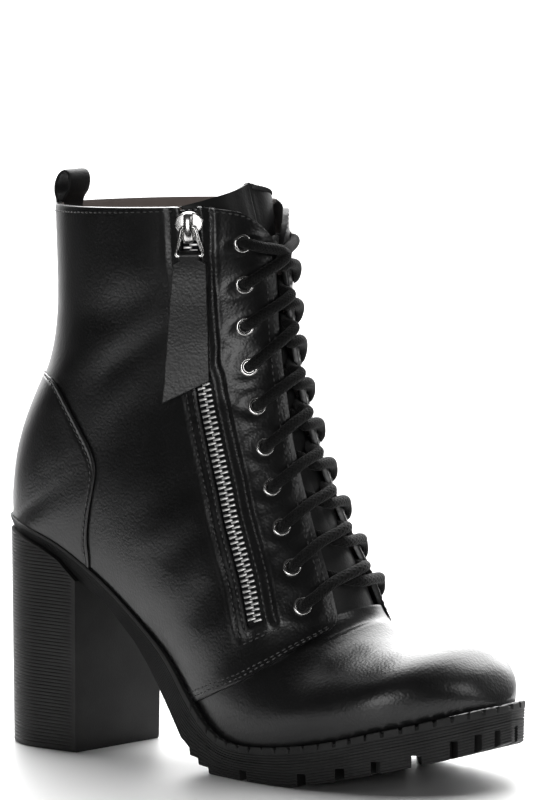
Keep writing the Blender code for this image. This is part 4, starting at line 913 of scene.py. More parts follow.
def quarter_place(side, zip_share=None):
    """Placing function of a quarter; zip_share gives the columns before and after the zip opening."""
    def at(u, v):
        c = u.copy()
        s = np.full_like(u, 0.6)
        for _ in range(4):
            low = table_at(SEAM, c)
            s = low + (table_at(COLLAR, c) - low) * v
            throat = throat_at(s, side)
            if zip_share is None:
                t = throat * u
            else:
                first, last = zip_share
                half = size_of("slot") / 2 / length_at(s, side)
                rear, front = zip_t(s) - half, zip_t(s) + half
                t = np.where(u <= first, rear * np.clip(u / first, 0, 1),
                             rear + (front - rear) * np.clip((u - first) / (last - first), 0, 1))
                t = np.where(u >= last, front + (throat - front) * np.clip((u - last) / (1 - last), 0, 1), t)
            c = np.clip(t / throat, 0, 1)
        return s, t

    def place(u, v, lift):
        s, t = at(u, v)
        bend = relief(s, t, side)
        if zip_share is not None:
            off = np.abs(t - zip_t(s)) * length_at(s, side)
            run = np.clip((s - ZIP_FOOT + 0.012) / 0.008, 0, 1)
            bend = bend * (1 - 0.7 * np.exp(-(off / 9.0) ** 4))
            for height, gap, width in ZIP_WELTS:
                bend = bend + run * height * np.exp(-((off - gap) / width) ** 2)
        return on_last(s, t, side, size_of("lap") + lift + bend)
    return at, place


def eyelet_keep(at, side):
    """Faces clear of the eyelets' holes."""
    def keep(u, v):
        s, t = at(u, v)
        clear = np.ones(len(u), bool)
        point, _ = last_point(s, t, side)
        for es, et in EYELETS:
            centre, _ = last_point(es, et, side)
            clear &= np.linalg.norm(point - centre, axis=1) > EYELET_HOLE
        return clear
    return keep


def face_eyestay(item, side, reach=22.0):
    """Leather instead of lining behind the eyelets."""
    places = np.array(EYELETS)
    centres = on_last(places[:, 0], places[:, 1], side, 0.0)
    for face in item.data.polygons:
        if np.linalg.norm(centres - np.array(face.center), axis=1).min() < reach * MM:
            face.material_index = 0


class BOOT_OT_upper(bpy.types.Operator):
    """Vamp and both quarters, with the zip opening and the eyelets' holes"""
    bl_idname = "boot.upper"
    bl_label = "Upper"

    def execute(self, context):
        vamp = lay_sheet("vamp", 176, 120, vamp_place)
        give_wall(vamp, size_of("leather"), inner=True)
        finish_piece(vamp, [finish("upper"), finish("lining")], ["upper"])
        at, place = quarter_place(MEDIAL)
        medial = lay_sheet("quarter_medial", 120, 180, place, eyelet_keep(at, MEDIAL))
        give_wall(medial, size_of("quarter"), inner=True)
        face_eyestay(medial, MEDIAL)
        finish_piece(medial, [finish("upper"), finish("lining")], ["upper"])
        columns = 132
        first, last = 80 / columns, 84 / columns
        at, place = quarter_place(LATERAL, (first, last))
        clear = eyelet_keep(at, LATERAL)

        def keep(u, v):
            s, _ = at(u, v)
            opening = (u > first) & (u < last) & (s > ZIP_FOOT)
            return clear(u, v) & ~opening

        lateral = lay_sheet("quarter_lateral", columns, 190, place, keep)
        give_wall(lateral, size_of("quarter"), inner=True)
        face_eyestay(lateral, LATERAL)
        finish_piece(lateral, [finish("upper"), finish("lining")], ["upper"])
        return {"FINISHED"}


class BOOT_OT_counter(bpy.types.Operator):
    """Heel counter in two halves that meet at the back seam, with a beaded edge"""
    bl_idname = "boot.counter"
    bl_label = "Heel counter"

    def execute(self, context):
        first, last = COUNTER_EDGE[0][0], COUNTER_EDGE[-1][0]
        high = size_of("lap") + 0.1 + size_of("counter")
        line = np.array(COUNTER_EDGE)
        halves = []
        for side, word in ((LATERAL, "lateral"), (MEDIAL, "medial")):
            def place(u, v, lift, side=side):
                s = first + (last - first) * (1 - (1 - v) ** 1.3)
                edge = np.interp(s, line[:, 0], line[:, 1])
                t = (1 - (1 - u) ** 1.6) * edge
                span = length_at(s, side)
                d = (edge - t) * span
                bead = 0.45 * np.exp(-((d - 1.0) / 1.0) ** 2) - 0.40 * np.exp(-((d - 3.2) / 0.8) ** 2)
                seam = 0.3 * np.exp(-(t * span / 0.9) ** 2) * np.clip((s - S_BACK) / 0.06, 0, 1)
                reach = np.clip(edge * span / 12.0, 0, 1)
                return on_last(s, t, side, high + lift + bead * reach - seam)
            half = lay_sheet("counter_" + word, 56, 130, place)
            give_wall(half, size_of("counter"), edge=0.25)
            halves.append(half)
        item = join("counter_leather", halves)
        finish_piece(item, finish("counter"), ["heel_counter"])
        return {"FINISHED"}


def tongue_place(u, v, lift):
    """Placing function of the tongue."""
    side = np.where(u < 0.5, LATERAL, MEDIAL)
    a = np.where(u < 0.5, 2 * u, 2 * (1 - u))
    tall = 0.06
    s = np.clip(0.300 + 0.7 * v / (1 - tall), 0.3, 1.0)
    over = np.clip((v - (1 - tall)) / tall, 0, 1)
    edge = table_at(TONGUE, s, 1)
    t = edge + (1 - edge) * a
    back = table_at(TONGUE, s, 2) * a ** 1.4
    under = 1.8 + np.where(s < 0.42, 0.9, 0.75)
    fold = 1.6 * np.clip((s - 0.8) / 0.2, 0, 1) * np.exp(-((1 - a) / 0.10) ** 2)
    wave = 0.5 * np.sin(26 * s + 3 * a) * np.clip((s - 0.4) / 0.1, 0, 1)
    point, normal = last_point(s, t, side)
    point = point + normal * (-under - back + fold + wave + lift)[:, None]
    rise = over * a * TONGUE_PEAK
    point = point + np.stack([-0.28 * rise, 0 * rise, rise], -1)
    return seat(point)


class BOOT_OT_tongue(bpy.types.Operator):
    """Tongue with its centre fold and overlocked far edge"""
    bl_idname = "boot.tongue"
    bl_label = "Tongue"

    def execute(self, context):
        item = lay_sheet("tongue_leather", 80, 150, tongue_place)
        give_wall(item, TONGUE_WALL, inner=True)
        finish_piece(item, [finish("tongue"), finish("lining")], ["tongue"])
        v = np.linspace(0.80, 0.999, 90)
        zigzag = np.where(np.arange(90) % 2, 0.985, 0.955)
        line = tongue_place(zigzag, v, np.full(90, 0.25))
        u = np.linspace(0.53, 0.985, 64)
        top = np.where(np.arange(64) % 2, 0.999, 0.985)
        crest = tongue_place(u, top, np.full(64, 0.25))
        radius = OVERLOCK_THREAD * MM
        cords = [sweep_tube("overlock", line, radius, 6), sweep_tube("overlock_top", crest, radius, 6)]
        finish_piece(join("tongue_overlock", cords), finish("thread"))
        return {"FINISHED"}


# Sole and heel

def row_columns(s):
    """Rows of the last's table under the sole."""
    return LAST_AT(np.clip(s, 0.0, S_BACK - 1e-6))


def feather(s, side):
    """Points of the feather line."""
    row = row_columns(s)
    return np.stack([row[:, COL["bx"]], row[:, COL["fl"] if side < 0 else COL["fm"]], row[:, COL["bz"]]], -1)


def feather_out(s, side):
    """Level direction away from the feather line."""
    step = 0.0015
    run = feather(s + step, side) - feather(s - step, side)
    out = side * np.stack([run[:, 1], -run[:, 0]], -1)
    out[s <= 0.0005] = (1.0, 0.0)
    out[s >= S_BACK - 0.0005] = (-1.0, 0.0)
    return unit(out)


def sole_edges(s, side):
    """Top outer and bottom outer edge of the sole, with the direction away from the foot."""
    out = feather_out(s, side)
    ledge = table_at(LEDGE, s)[:, None]
    foot = feather(s, side)
    top = foot + np.concatenate([out * ledge, np.full((len(s), 1), -0.3)], 1)
    low = np.stack([table_at(UNDERSIDE, s, 1), foot[:, 1], table_at(UNDERSIDE, s, 2)], -1)
    low[:, :2] += out * ledge * 0.6
    return top, low, np.concatenate([out, np.zeros((len(s), 1))], 1)


def sole_profile():
    """Columns of one side of the sole: share down the wall, outward step, share across the foot."""
    columns = [(0.0, -3.2, 0.0), (0.0, -0.7, 0.0), (0.012, -0.15, 0.0), (0.045, 0.0, 0.0)]
    for k in range(SOLE_RIBS):
        base = 0.10 + 0.84 * k / SOLE_RIBS
        pitch = 0.84 / SOLE_RIBS
        deep = -0.55 if k == 3 else -0.30
        columns += [(base, 0.0, 0.0), (base + 0.45 * pitch, 0.0, 0.0), (base + 0.62 * pitch, deep, 0.0),
                    (base + 0.84 * pitch, deep, 0.0)]
    columns += [(0.95, 0.0, 0.0), (0.985, -0.15, 0.0), (1.0, -0.7, 0.0), (1.0, -0.7, 0.5), (1.0, -0.7, 1.0)]
    return np.array(columns)


def build_sole():
    """Sole as one skin of sections from the toe to the heel's back."""
    profile = sole_profile()
    stations = np.unique(np.concatenate([
        np.linspace(0, 0.06, 60), np.linspace(0.06, 0.316, 190), np.linspace(0.3165, 0.348, 40),
        np.linspace(0.348, 0.66, 170), np.linspace(0.66, S_BACK, 60), np.array([r[0] for r in UNDERSIDE])]))
    stations = stations[(stations <= S_BACK)]
    run = run_along(feather(stations, LATERAL))
    tick = (np.mod(run, TICK_PITCH) < TICK_WIDTH) & (stations < 0.345)
    walls = {}
    for side in (LATERAL, MEDIAL):
        top, low, out = sole_edges(stations, side)
        wall = top[:, None] * (1 - profile[None, :, :1]) + low[:, None] * profile[None, :, :1]
        step = np.repeat(profile[None, :, 1], len(stations), 0)
        near_top = (profile[:, 0] < 0.06) & (profile[:, 1] > -2)
        step = step - 0.7 * tick[:, None] * near_top[None]
        wall = wall + out[:, None] * step[:, :, None]
        wall[:, :, 2] += (0.9 - 1.1 * tick[:, None]) * near_top[None]
        walls[side] = wall
    middle = (walls[LATERAL][:, -1] + walls[MEDIAL][:, -1]) / 2
    for side in (LATERAL, MEDIAL):
        for k in (-2, -1):
            share = profile[k, 2]
            walls[side][:, k] = walls[side][:, -3] * (1 - share) + middle * share
    ring = np.concatenate([walls[LATERAL], walls[MEDIAL][:, ::-1][:, 1:]], 1)
    count = ring.shape[1]
    item = mesh_piece("sole_tread", seat(ring.reshape(-1, 3)), ring_faces(len(stations), count))
    clean(item, 0.00002, outward=True)
    return item


def cutter_box(start, end, half, lows, highs):
    """Cube primitive shaped into a notch between two plan points."""
    bpy.ops.object.select_all(action="DESELECT")
    bpy.ops.mesh.primitive_cube_add(size=2)
    item = bpy.context.object
    for vertex in item.data.vertices:
        x, y, z = vertex.co
        k = 1 if x > 0 else 0
        plan = (end if k else start) + half * y
        vertex.co = Vector(seat(np.array([plan[0], plan[1], highs[k] if z > 0 else lows[k]])))
    clean(item, 1e-7, outward=True)
    return item


def tread_cutters():
    """All the notches, the channel and the grooves of the tread in one object."""
    boxes = []
    for s, side, length, height, depth in NOTCHES:
        at = np.array([s])
        edge = sole_edges(at, side)[0][0][:2]
        out = feather_out(at, side)[0]
        run = np.array([-out[1], out[0]]) * length / 2
        low = float(table_at(UNDERSIDE, s, 2))
        boxes.append(cutter_box(edge - out * depth, edge + out * 6.0, run, (low - 12.0,) * 2,
                                (low + height,) * 2))
    start, end, half, lows, highs = (np.array(v) for v in CHANNEL)
    boxes.append(cutter_box(start, end, half, lows, highs))
    rows = sorted((r[1], r[2]) for r in UNDERSIDE)
    for x in GROOVES:
        roof = float(np.interp(x, [r[0] for r in rows], [r[1] for r in rows])) + GROOVE_DEPTH
        boxes.append(cutter_box(np.array([x, -GROOVE_REACH]), np.array([x, GROOVE_REACH]),
                                np.array([GROOVE_HALF, 0.0]), (-9.0,) * 2, (roof,) * 2))
    return join("tread_cutters", boxes)


class BOOT_OT_sole(bpy.types.Operator):
    """Lugged sole with ribbed sides, ticks along its edge and welt stitches"""
    bl_idname = "boot.sole"
    bl_label = "Sole"

    def execute(self, context):
        item = build_sole()
        cutter = tread_cutters()
        cut = item.modifiers.new("tread", "BOOLEAN")
        cut.object = cutter
        cut.solver = "EXACT"
        apply_modifiers(item)
        bpy.data.objects.remove(cutter, do_unlink=True)
        finish_piece(item, finish("sole"), ["outsole"], angle=38.0)
        rows = []
        for side in (LATERAL, MEDIAL):
            s = np.linspace(0.11, 0.40, 160)
            out = feather_out(s, side)
            line = feather(s, side)
            line[:, :2] += out * 1.5
            line[:, 2] += 0.1
            rows.append((seat(line), np.tile([0.0, 0.0, 1.0], (len(s), 1))))
        stitch_rows("welt_stitches", rows, WELT_STITCH, WELT_STEP, WELT_THREAD, finish("welt_thread"),
                    sink=0.2)
        return {"FINISHED"}


HEEL_LENGTH, HEEL_WIDTH, HEEL_TURN = 51.0, 55.0, math.radians(-5.0)
HEEL_BACK, HEEL_TAPER = -4.6, 0.97
RIBBED_HEIGHT, RIB_DEPTH, OVER_HEEL = 91.0, 0.34, 95.0


def heel_outline():
    """Plan of the heel from the lateral breast corner round the back to the medial one."""
    half = HEEL_WIDTH / 2
    side = []
    for v in np.linspace(0, math.pi / 2, 26):
        side.append((half * 1.02 * (1 - math.cos(v)), half * math.sin(v) ** 0.92))
    side += [(a, half * (1 - 0.015 * (a - 28.0) / 23.0)) for a in np.linspace(29.5, HEEL_LENGTH, 12)]
    axis = np.array([math.cos(HEEL_TURN), math.sin(HEEL_TURN)])
    across = np.array([-axis[1], axis[0]])
    start = np.array([HEEL_BACK, 0.6])
    plan = [start + axis * a - across * w for a, w in reversed(side)]
    plan += [start + axis * a + across * w for a, w in side[1:]]
    return np.array(plan), start + axis * HEEL_LENGTH / 2


class BOOT_OT_heel(bpy.types.Operator):
    """Block heel: ribbed round its side and back, smooth on the breast"""
    bl_idname = "boot.heel"
    bl_label = "Heel"

    def execute(self, context):
        rib = size_of("rib")
        plan, centre = heel_outline()
        out = np.gradient(plan, axis=0)
        out = unit(np.stack([out[:, 1], -out[:, 0]], -1))
        out *= np.sign(((plan - centre) * out).sum(1, keepdims=True))
        rows = sorted((r[1], r[2]) for r in UNDERSIDE if r[0] >= 0.5)
        roof = np.interp(plan[:, 0], [r[0] for r in rows], [r[1] for r in rows]) - 0.3
        ribs = int(RIBBED_HEIGHT / rib)
        levels = [0.0, 0.35, 1.1]
        depth = [-0.9, -0.25, 0.0]
        for k in range(ribs):
            base = 1.6 + k * rib
            levels += [base, base + 0.45 * rib, base + 0.6 * rib, base + 0.85 * rib]
            depth += [0.0, 0.0, -RIB_DEPTH, -RIB_DEPTH]
        levels.append(OVER_HEEL)
        depth.append(0.0)
        levels, depth = np.array(levels), np.array(depth)
        ribbed = np.ones(len(plan))
        ribbed[[0, 1, -1, -2]] = 0.0
        points = []
        for z, d in zip(levels, depth):
            height = np.minimum(z, roof)
            part = np.clip(height / roof, 0, 1)[:, None]
            spread = HEEL_TAPER + (1 - HEEL_TAPER) * part
            ring = centre + (plan - centre) * spread
            inward = d if z < 1.2 else d * ribbed * (z < roof - 0.5)
            ring = ring + out * np.reshape(inward, (-1, 1))
            points.append(np.concatenate([ring, height[:, None]], 1))
        count = len(plan)
        flat = seat(np.array(points).reshape(-1, 3))
        faces = ring_faces(len(levels), count)
        faces.append(tuple(range(count)))
        top = (len(levels) - 1) * count
        half = count // 2
        for j in range(half):
            a, b = top + j, top + count - 1 - j
            faces.append((a, a + 1, b - 1, b) if a + 1 < b - 1 else (a, a + 1, b))
        item = mesh_piece("heel_block", flat, faces)
        clean(item, 0.00002, outward=True)
        finish_piece(item, finish("heel"), ["heel"], angle=32.0)
        return {"FINISHED"}


class BOOT_OT_insole(bpy.types.Operator):
    """Insole with its sock, dished at the heel"""
    bl_idname = "boot.insole"
    bl_label = "Insole"

    def execute(self, context):
        def place(u, v, lift):
            s = 0.008 + (0.7075 - 0.008) * v
            inset = 1.8 + np.interp(s, (0.0, 0.64, 0.68, S_BACK), (0.9, 0.9, 2.4, 3.6))
            ends = []
            for side in (LATERAL, MEDIAL):
                edge = feather(s, side)
                edge[:, :2] -= feather_out(s, side) * inset[:, None]
                ends.append(edge)
            point = ends[0] * (1 - u)[:, None] + ends[1] * u[:, None]
            dish = 1.2 * (2 * u - 1) ** 4
            point[:, 2] += 2.4 + dish + lift
            return seat(point)
        item = lay_sheet("insole_sock", 40, 160, place)
        give_wall(item, INSOLE_WALL, edge=0.3)
        finish_piece(item, finish("insole"), ["insole"])
        return {"FINISHED"}


# Hardware and lace

def frame_at(s, t, side, lift):
    """Centre and turn of a round fitting on the leather."""
    point, normal = last_point(s, t, side)
    centre = seat(point + normal * lift)[0]
    turn = Vector(normal[0]).to_track_quat("Z", "Y").to_matrix().to_4x4()
    turn.translation = Vector(centre)
    return turn


class BOOT_OT_eyelets(bpy.types.Operator):
    """Rolled metal eyelets with their barrels"""
    bl_idname = "boot.eyelets"
    bl_label = "Eyelets"

    def execute(self, context):
        bpy.ops.object.select_all(action="DESELECT")
        bpy.ops.mesh.primitive_torus_add(major_radius=EYELET_RADIUS * MM, minor_radius=EYELET_ROLL * MM,
                                         major_segments=40, minor_segments=14)
        ring = context.object
        for vertex in ring.data.vertices:
            if vertex.co.z < -0.0003:
                vertex.co.z = -0.0003
        bpy.ops.mesh.primitive_cylinder_add(radius=BARREL_RADIUS * MM, depth=BARREL_DEPTH * MM, vertices=40,
                                            end_fill_type="NOTHING", location=(0, 0, -1.6 * MM))
        barrel = context.object
        bpy.ops.object.transform_apply(location=True)
        wall = barrel.modifiers.new("wall", "SOLIDIFY")
        wall.thickness = BARREL_WALL * MM
        apply_modifiers(barrel)
        master = join("eyelet_master", [ring, barrel])
        for side, word in ((LATERAL, "lateral"), (MEDIAL, "medial")):
            for k, (s, t) in enumerate(EYELETS):
                item = bpy.data.objects.new("eyelet_ring_%s_%02d" % (word, k + 1), master.data.copy())
                context.scene.collection.objects.link(item)
                item.data.transform(frame_at(s, t, side, size_of("lap") + 0.25))
                node = "eyelet_%s_%02d" % (word, k + 1)
                finish_piece(item, finish("eyelet"), [node], angle=60.0)
        bpy.data.objects.remove(master, do_unlink=True)
        return {"FINISHED"}


def lace_through(stops):
    """Smooth path through stops of s, t, side and lift."""
    points = [on_last([s], np.array([min(t, 1.0)]), np.array([half]), np.array([lift]))[0]
              for s, t, half, lift in stops]
    return smooth_path(points, 9)


def strand_path(k, side, over):
    """Lace from its eyelet over the throat and under the far eyestay to the next eyelet's hole."""
    s0, t0 = EYELETS[k]
    s1, t1 = EYELETS[k + 1]
    gap = s1 - s0
    near = 1 / float(length_at(s0, side))
    # Share of the step to the next eyelet and lift: at the eyelet, on the eyestay, at its edge, at the
    # ridge, before the far edge and under it
    if over:
        table = ((0.03, 2.9), (0.12, 4.2), (0.30, 4.2), (0.47, 4.0), (0.59, 0.2), (0.71, -3.2), (0.84, -4.4))
    else:
        table = ((0.02, 2.4), (0.22, 3.4), (0.24, 2.8), (0.20, 1.2), (0.45, -1.6), (0.62, -3.6), (0.80, -4.6))
    e0 = float(throat_at(s0 + table[2][0] * gap, side))
    e1 = float(throat_at(s0 + table[5][0] * gap, -side))
    across = ((t0 + 2.2 * near, side), (t0 + 6.5 * near, side), (e0, side), (1.0, side),
              (e1 + 4.5 * near, -side), (e1 + 0.8 * near, -side), (e1 - 3.0 * near, -side))
    stops = [(s0 - 0.02 * gap, t0 - 0.5 * near, side, -4.6), (s0, t0 + 0.6 * near, side, -1.0)]
    stops += [(s0 + share * gap, t, half, lift) for (share, lift), (t, half) in zip(table, across)]
    stops.append((s1 - 0.06 * gap, t1 + 2.0 * near, -side, -4.8))
    return lace_through(stops)


def top_end(side):
    """Short end from the top eyelet down to the middle, tucked behind the last crossing."""
    s0, t0 = EYELETS[-1]
    gap = s0 - EYELETS[-2][0]
    near = 1 / float(length_at(s0, side))
    edge = float(throat_at(s0 - 0.4 * gap, side))
    high = 4.2 if side < 0 else 2.8
    return lace_through([
        (s0, t0 - 0.4 * near, side, -4.6), (s0, t0 + 0.6 * near, side, -0.8),
        (s0 - 0.05 * gap, t0 + 2.4 * near, side, 2.6), (s0 - 0.19 * gap, t0 + 6.5 * near, side, high),
        (s0 - 0.40 * gap, edge, side, high), (s0 - 0.58 * gap, 1.0, side, 3.2),
        (s0 - 0.70 * gap, edge + 2.0 * near, -side, 0.0), (s0 - 0.76 * gap, edge - 2.0 * near, -side, -3.6),
    ])


class BOOT_OT_lace(bpy.types.Operator):
    """Round lace run through the eyelets, crossing from side to side"""
    bl_idname = "boot.lace"
    bl_label = "Lace"

    def execute(self, context):
        radius = size_of("lace") * MM
        for k in range(len(EYELETS) - 1):
            paths = [strand_path(k, side, side < 0) for side in (LATERAL, MEDIAL)]
            if k == len(EYELETS) - 2:
                paths += [top_end(side) for side in (LATERAL, MEDIAL)]
            tubes = [sweep_tube("strand", path, radius, 18) for path in paths]
            item = join("lace_pair_%02d" % (k + 1), tubes)
            finish_piece(item, finish("lace"), ["lace_cross_%02d" % (k + 1)], angle=70.0)
        return {"FINISHED"}


def zip_axes(s):
    """Base, out and across directions along the zip."""
    s = np.atleast_1d(np.asarray(s, float))
    base, out = last_point(s, zip_t(s), LATERAL)
    step = 0.006
    ends = [last_point(place, zip_t(place), LATERAL)[0] for place in (s - step, s + step)]
    ahead = ends[1] - ends[0]
    return base, out, unit(np.cross(out, ahead))


def tooth_template():
    """One tooth of the zip: a bevelled bar."""
    bpy.ops.object.select_all(action="DESELECT")
    bpy.ops.mesh.primitive_cube_add(size=1)
    item = bpy.context.object
    item.scale = [edge * MM for edge in TOOTH]
    bpy.ops.object.transform_apply(scale=True)
    soften(item, 0.18, 2)
    apply_modifiers(item)
    return take_shape(item)


class BOOT_OT_zip(bpy.types.Operator):
    """Zip tape and the two rows of teeth"""
    bl_idname = "boot.zip"
    bl_label = "Zip"

    def execute(self, context):
        width = size_of("slot") + 3.0

        def place(u, v, lift):
            s = 0.380 + (0.995 - 0.380) * v
            base, out, across = zip_axes(s)
            return seat(base + across * ((u - 0.5) * width)[:, None] + out * (-1.0 + lift))
        tape = lay_sheet("zip_tape_weave", 12, 160, place)
        give_wall(tape, TAPE_WALL, edge=0.0)
        finish_piece(tape, finish("tape"), ["zip_tape"])
        shape, faces = tooth_template()
        fine = np.linspace(0.392, 0.985, 400)
        base, out, across = zip_axes(fine)
        run = run_along(base)
        points, polygons = [], []
        for k in range(int(run[-1] / (TOOTH_PITCH / 2))):
            at = k * TOOTH_PITCH / 2
            s = float(np.interp(at, run, fine))
            b, o, a = (v[0] for v in zip_axes(s))
            way = 1 if k % 2 else -1
            along = np.cross(o, a)
            centre = b + a * way * 1.25 + o * 0.35
            start = len(points)
            local = (shape[:, :1] * a * way + shape[:, 1:2] * along + shape[:, 2:] * o)
            points.extend(seat(centre) + local)
            polygons.extend(tuple(start + i for i in f) for f in faces)
        chain = mesh_piece("zip_chain", points, polygons)
        clean(chain, 1e-7, outward=True)
        finish_piece(chain, finish("teeth"), ["zip_teeth"], angle=40.0)
        return {"FINISHED"}


def slider_axes():
    """Base of the slider with its across, down and out directions, in millimetres of the last."""
    lap = size_of("lap")
    base, out = (v[0] for v in last_point(*SLIDER_PLACE, LATERAL))
    foot, foot_out = (v[0] for v in last_point(*HANG_PLACE, LATERAL))
    base = base + out * (lap + 0.3)
    down = unit(foot + foot_out * lap - base)
    across = unit(np.cross(down, out))
    return base, across, down, np.cross(across, down)


def on_slider(axes, places):
    """Places across, down and out from the slider, in metres of the part."""
    base, across, down, out = axes
    places = np.atleast_2d(np.asarray(places, float))
    return seat(base + places[:, :1] * across + places[:, 1:2] * down + places[:, 2:] * out)


def shaped_block(name, axes, size, centre, round_by, taper=1.0):
    """Cube primitive at the slider, narrowed towards its lower end and rounded."""
    bpy.ops.object.select_all(action="DESELECT")
    bpy.ops.mesh.primitive_cube_add(size=2)
    item = bpy.context.object
    for vertex in item.data.vertices:
        x, y, z = vertex.co
        wide = size[0] / 2 * (taper if y > 0 else 1.0)
        place = (centre[0] + x * wide, centre[1] + y * size[1] / 2, centre[2] + z * size[2] / 2)
        vertex.co = Vector(on_slider(axes, place)[0])
    clean(item, 1e-7, outward=True)
    soften(item, round_by, 4)
    apply_modifiers(item)
    item.name = name
    return item


class BOOT_OT_zip_slider(bpy.types.Operator):
    """Slider of the zip with its bail"""
    bl_idname = "boot.zip_slider"
    bl_label = "Zip slider"

    def execute(self, context):
        axes = slider_axes()
        bpy.ops.object.select_all(action="DESELECT")
        bpy.ops.mesh.primitive_cylinder_add(vertices=40, radius=1.0, depth=2.0)
        disc = context.object
        for vertex in disc.data.vertices:
            x, y, z = vertex.co
            rise = 1.0 + z * 1.0 + (0.5 * y if z > 0 else 0.0)
            vertex.co = Vector(on_slider(axes, (x * 5.9, y * 4.7 - 1.3, rise))[0])
        clean(disc, 1e-7, outward=True)
        soften(disc, 0.55, 3)
        apply_modifiers(disc)
        plate = shaped_block("plate", axes, (7.4, 6.0, 1.4), (0.0, 3.0, 0.7), 0.4, 0.8)
        arch = [(0.0, -5.4, 1.6), (0.0, -5.6, 3.2), (0.0, -4.6, 4.9), (0.0, -1.5, 5.7), (0.0, 2.2, 5.7),
                (0.0, 5.0, 4.9), (0.0, 6.2, 3.4), (0.0, 6.2, 1.6)]
        path = smooth_path(on_slider(axes, arch), 6)
        bail = sweep_tube("bail", path, BAIL_HALF * MM, 16, flat=BAIL_FLAT, guide=axes[1])
        item = join("zip_slider_body", [disc, plate, bail])
        finish_piece(item, finish("metal"), ["zip_slider"], angle=45.0)
        return {"FINISHED"}


class BOOT_OT_zip_pull(bpy.types.Operator):
    """Ring and leather tab that hang from the slider"""
    bl_idname = "boot.zip_pull"
    bl_label = "Zip pull"

    def execute(self, context):
        axes = slider_axes()
        hinge, end, drop = 3.7, 3.4, 12.0
        half = [(1.8, 0.0, hinge), (2.8, 1.0, hinge), (3.9, 5.0, hinge), (5.3, 10.2, end), (5.1, 11.6, end),
                (4.2, drop, end)]
        corners = [(-1.8, 0.0, hinge), (0.0, 0.0, hinge), *half, (0.0, drop, end)]
        corners += [(-a, d, o) for a, d, o in half[:0:-1]]
        path = smooth_path(on_slider(axes, corners), 5, closed=True)
        ring = sweep_tube("zip_ring", path, PULL_WIRE * MM, 12, closed=True, guide=axes[3])
        finish_piece(ring, finish("metal"), ["zip_pull_ring"], body=PULL, angle=60.0)

        def place(u, v, lift):
            turn = 0.075
            wrap = np.clip(v / turn, 0, 1)
            angle = math.radians(-100) + wrap * math.radians(190)
            run = np.clip((v - turn) / (1 - turn), 0, 1) * TAB_LENGTH
            neck = np.clip((run - 1.6) / 1.8, 0, 1)
            neck = neck * neck * (3 - 2 * neck)
            share = np.clip((run - 3.0) / (TAB_LENGTH - 3.0), 0, 1)
            half = 3.9 + neck * 2.9 + share * 3.2
            a = (2 * u - 1) * half + TAB_LEAN * share
            tip = TAB_SLANT * (2 * u - 1) * np.clip((run - 16.0) / (TAB_LENGTH - 16.0), 0, 1)
            radius = 2.2 + lift
            d = drop - radius * np.cos(angle) * (v < turn) + (run + tip) * (v >= turn)
            o = np.where(v < turn, end + radius * np.sin(angle), end + 1.1 + lift + 1.1 * np.exp(-run / 5.0))
            o = o + 0.35 * np.sin(run / 8.0) * np.clip(run / 20.0, 0, 1)
            return on_slider(axes, np.stack([a, d, o], -1))
        tab = lay_sheet("zip_tab", 22, 110, place)
        give_wall(tab, TAB_WALL, edge=0.4)
        finish_piece(tab, finish("tab"), ["zip_pull_tab"], body=PULL)
        return {"FINISHED"}


class BOOT_OT_pull_loop(bpy.types.Operator):
    """Strip loop at the back of the collar"""
    bl_idname = "boot.pull_loop"
    bl_label = "Pull loop"

    def execute(self, context):
        base, _ = last_point(1.0, 0.0, LATERAL)
        x0, z0 = base[0][0], base[0][2]
        outside = [(-1.3, -7.0), (-1.3, 0.4), (-2.2, 4.0), (-2.0, 8.0), (0.0, 12.0), (3.0, 13.8), (5.8, 12.8),
                   (7.0, 9.5), (6.2, 5.0), (3.4, 0.4), (3.0, -7.0)]
        path = smooth_path(np.array([(x0 + a, 0.0, z0 + b) for a, b in outside]), 7)
        tangent = np.gradient(path, axis=0)
        out = unit(np.stack([-tangent[:, 2], 0 * path[:, 0], tangent[:, 0]], -1))

        def place(u, v, lift):
            at = np.rint(v * (len(path) - 1)).astype(int)
            y = (u - 0.5) * LOOP_WIDTH
            crown = -0.25 * (2 * u - 1) ** 6
            point = path[at] + out[at] * (lift + crown)[:, None]
            return seat(point + np.stack([0 * y, y, 0 * y], -1))
        item = lay_sheet("loop_strip", 16, len(path) - 1, place)
        give_wall(item, LOOP_WALL, edge=0.35)
        finish_piece(item, finish("tongue"), ["pull_loop"])
        return {"FINISHED"}


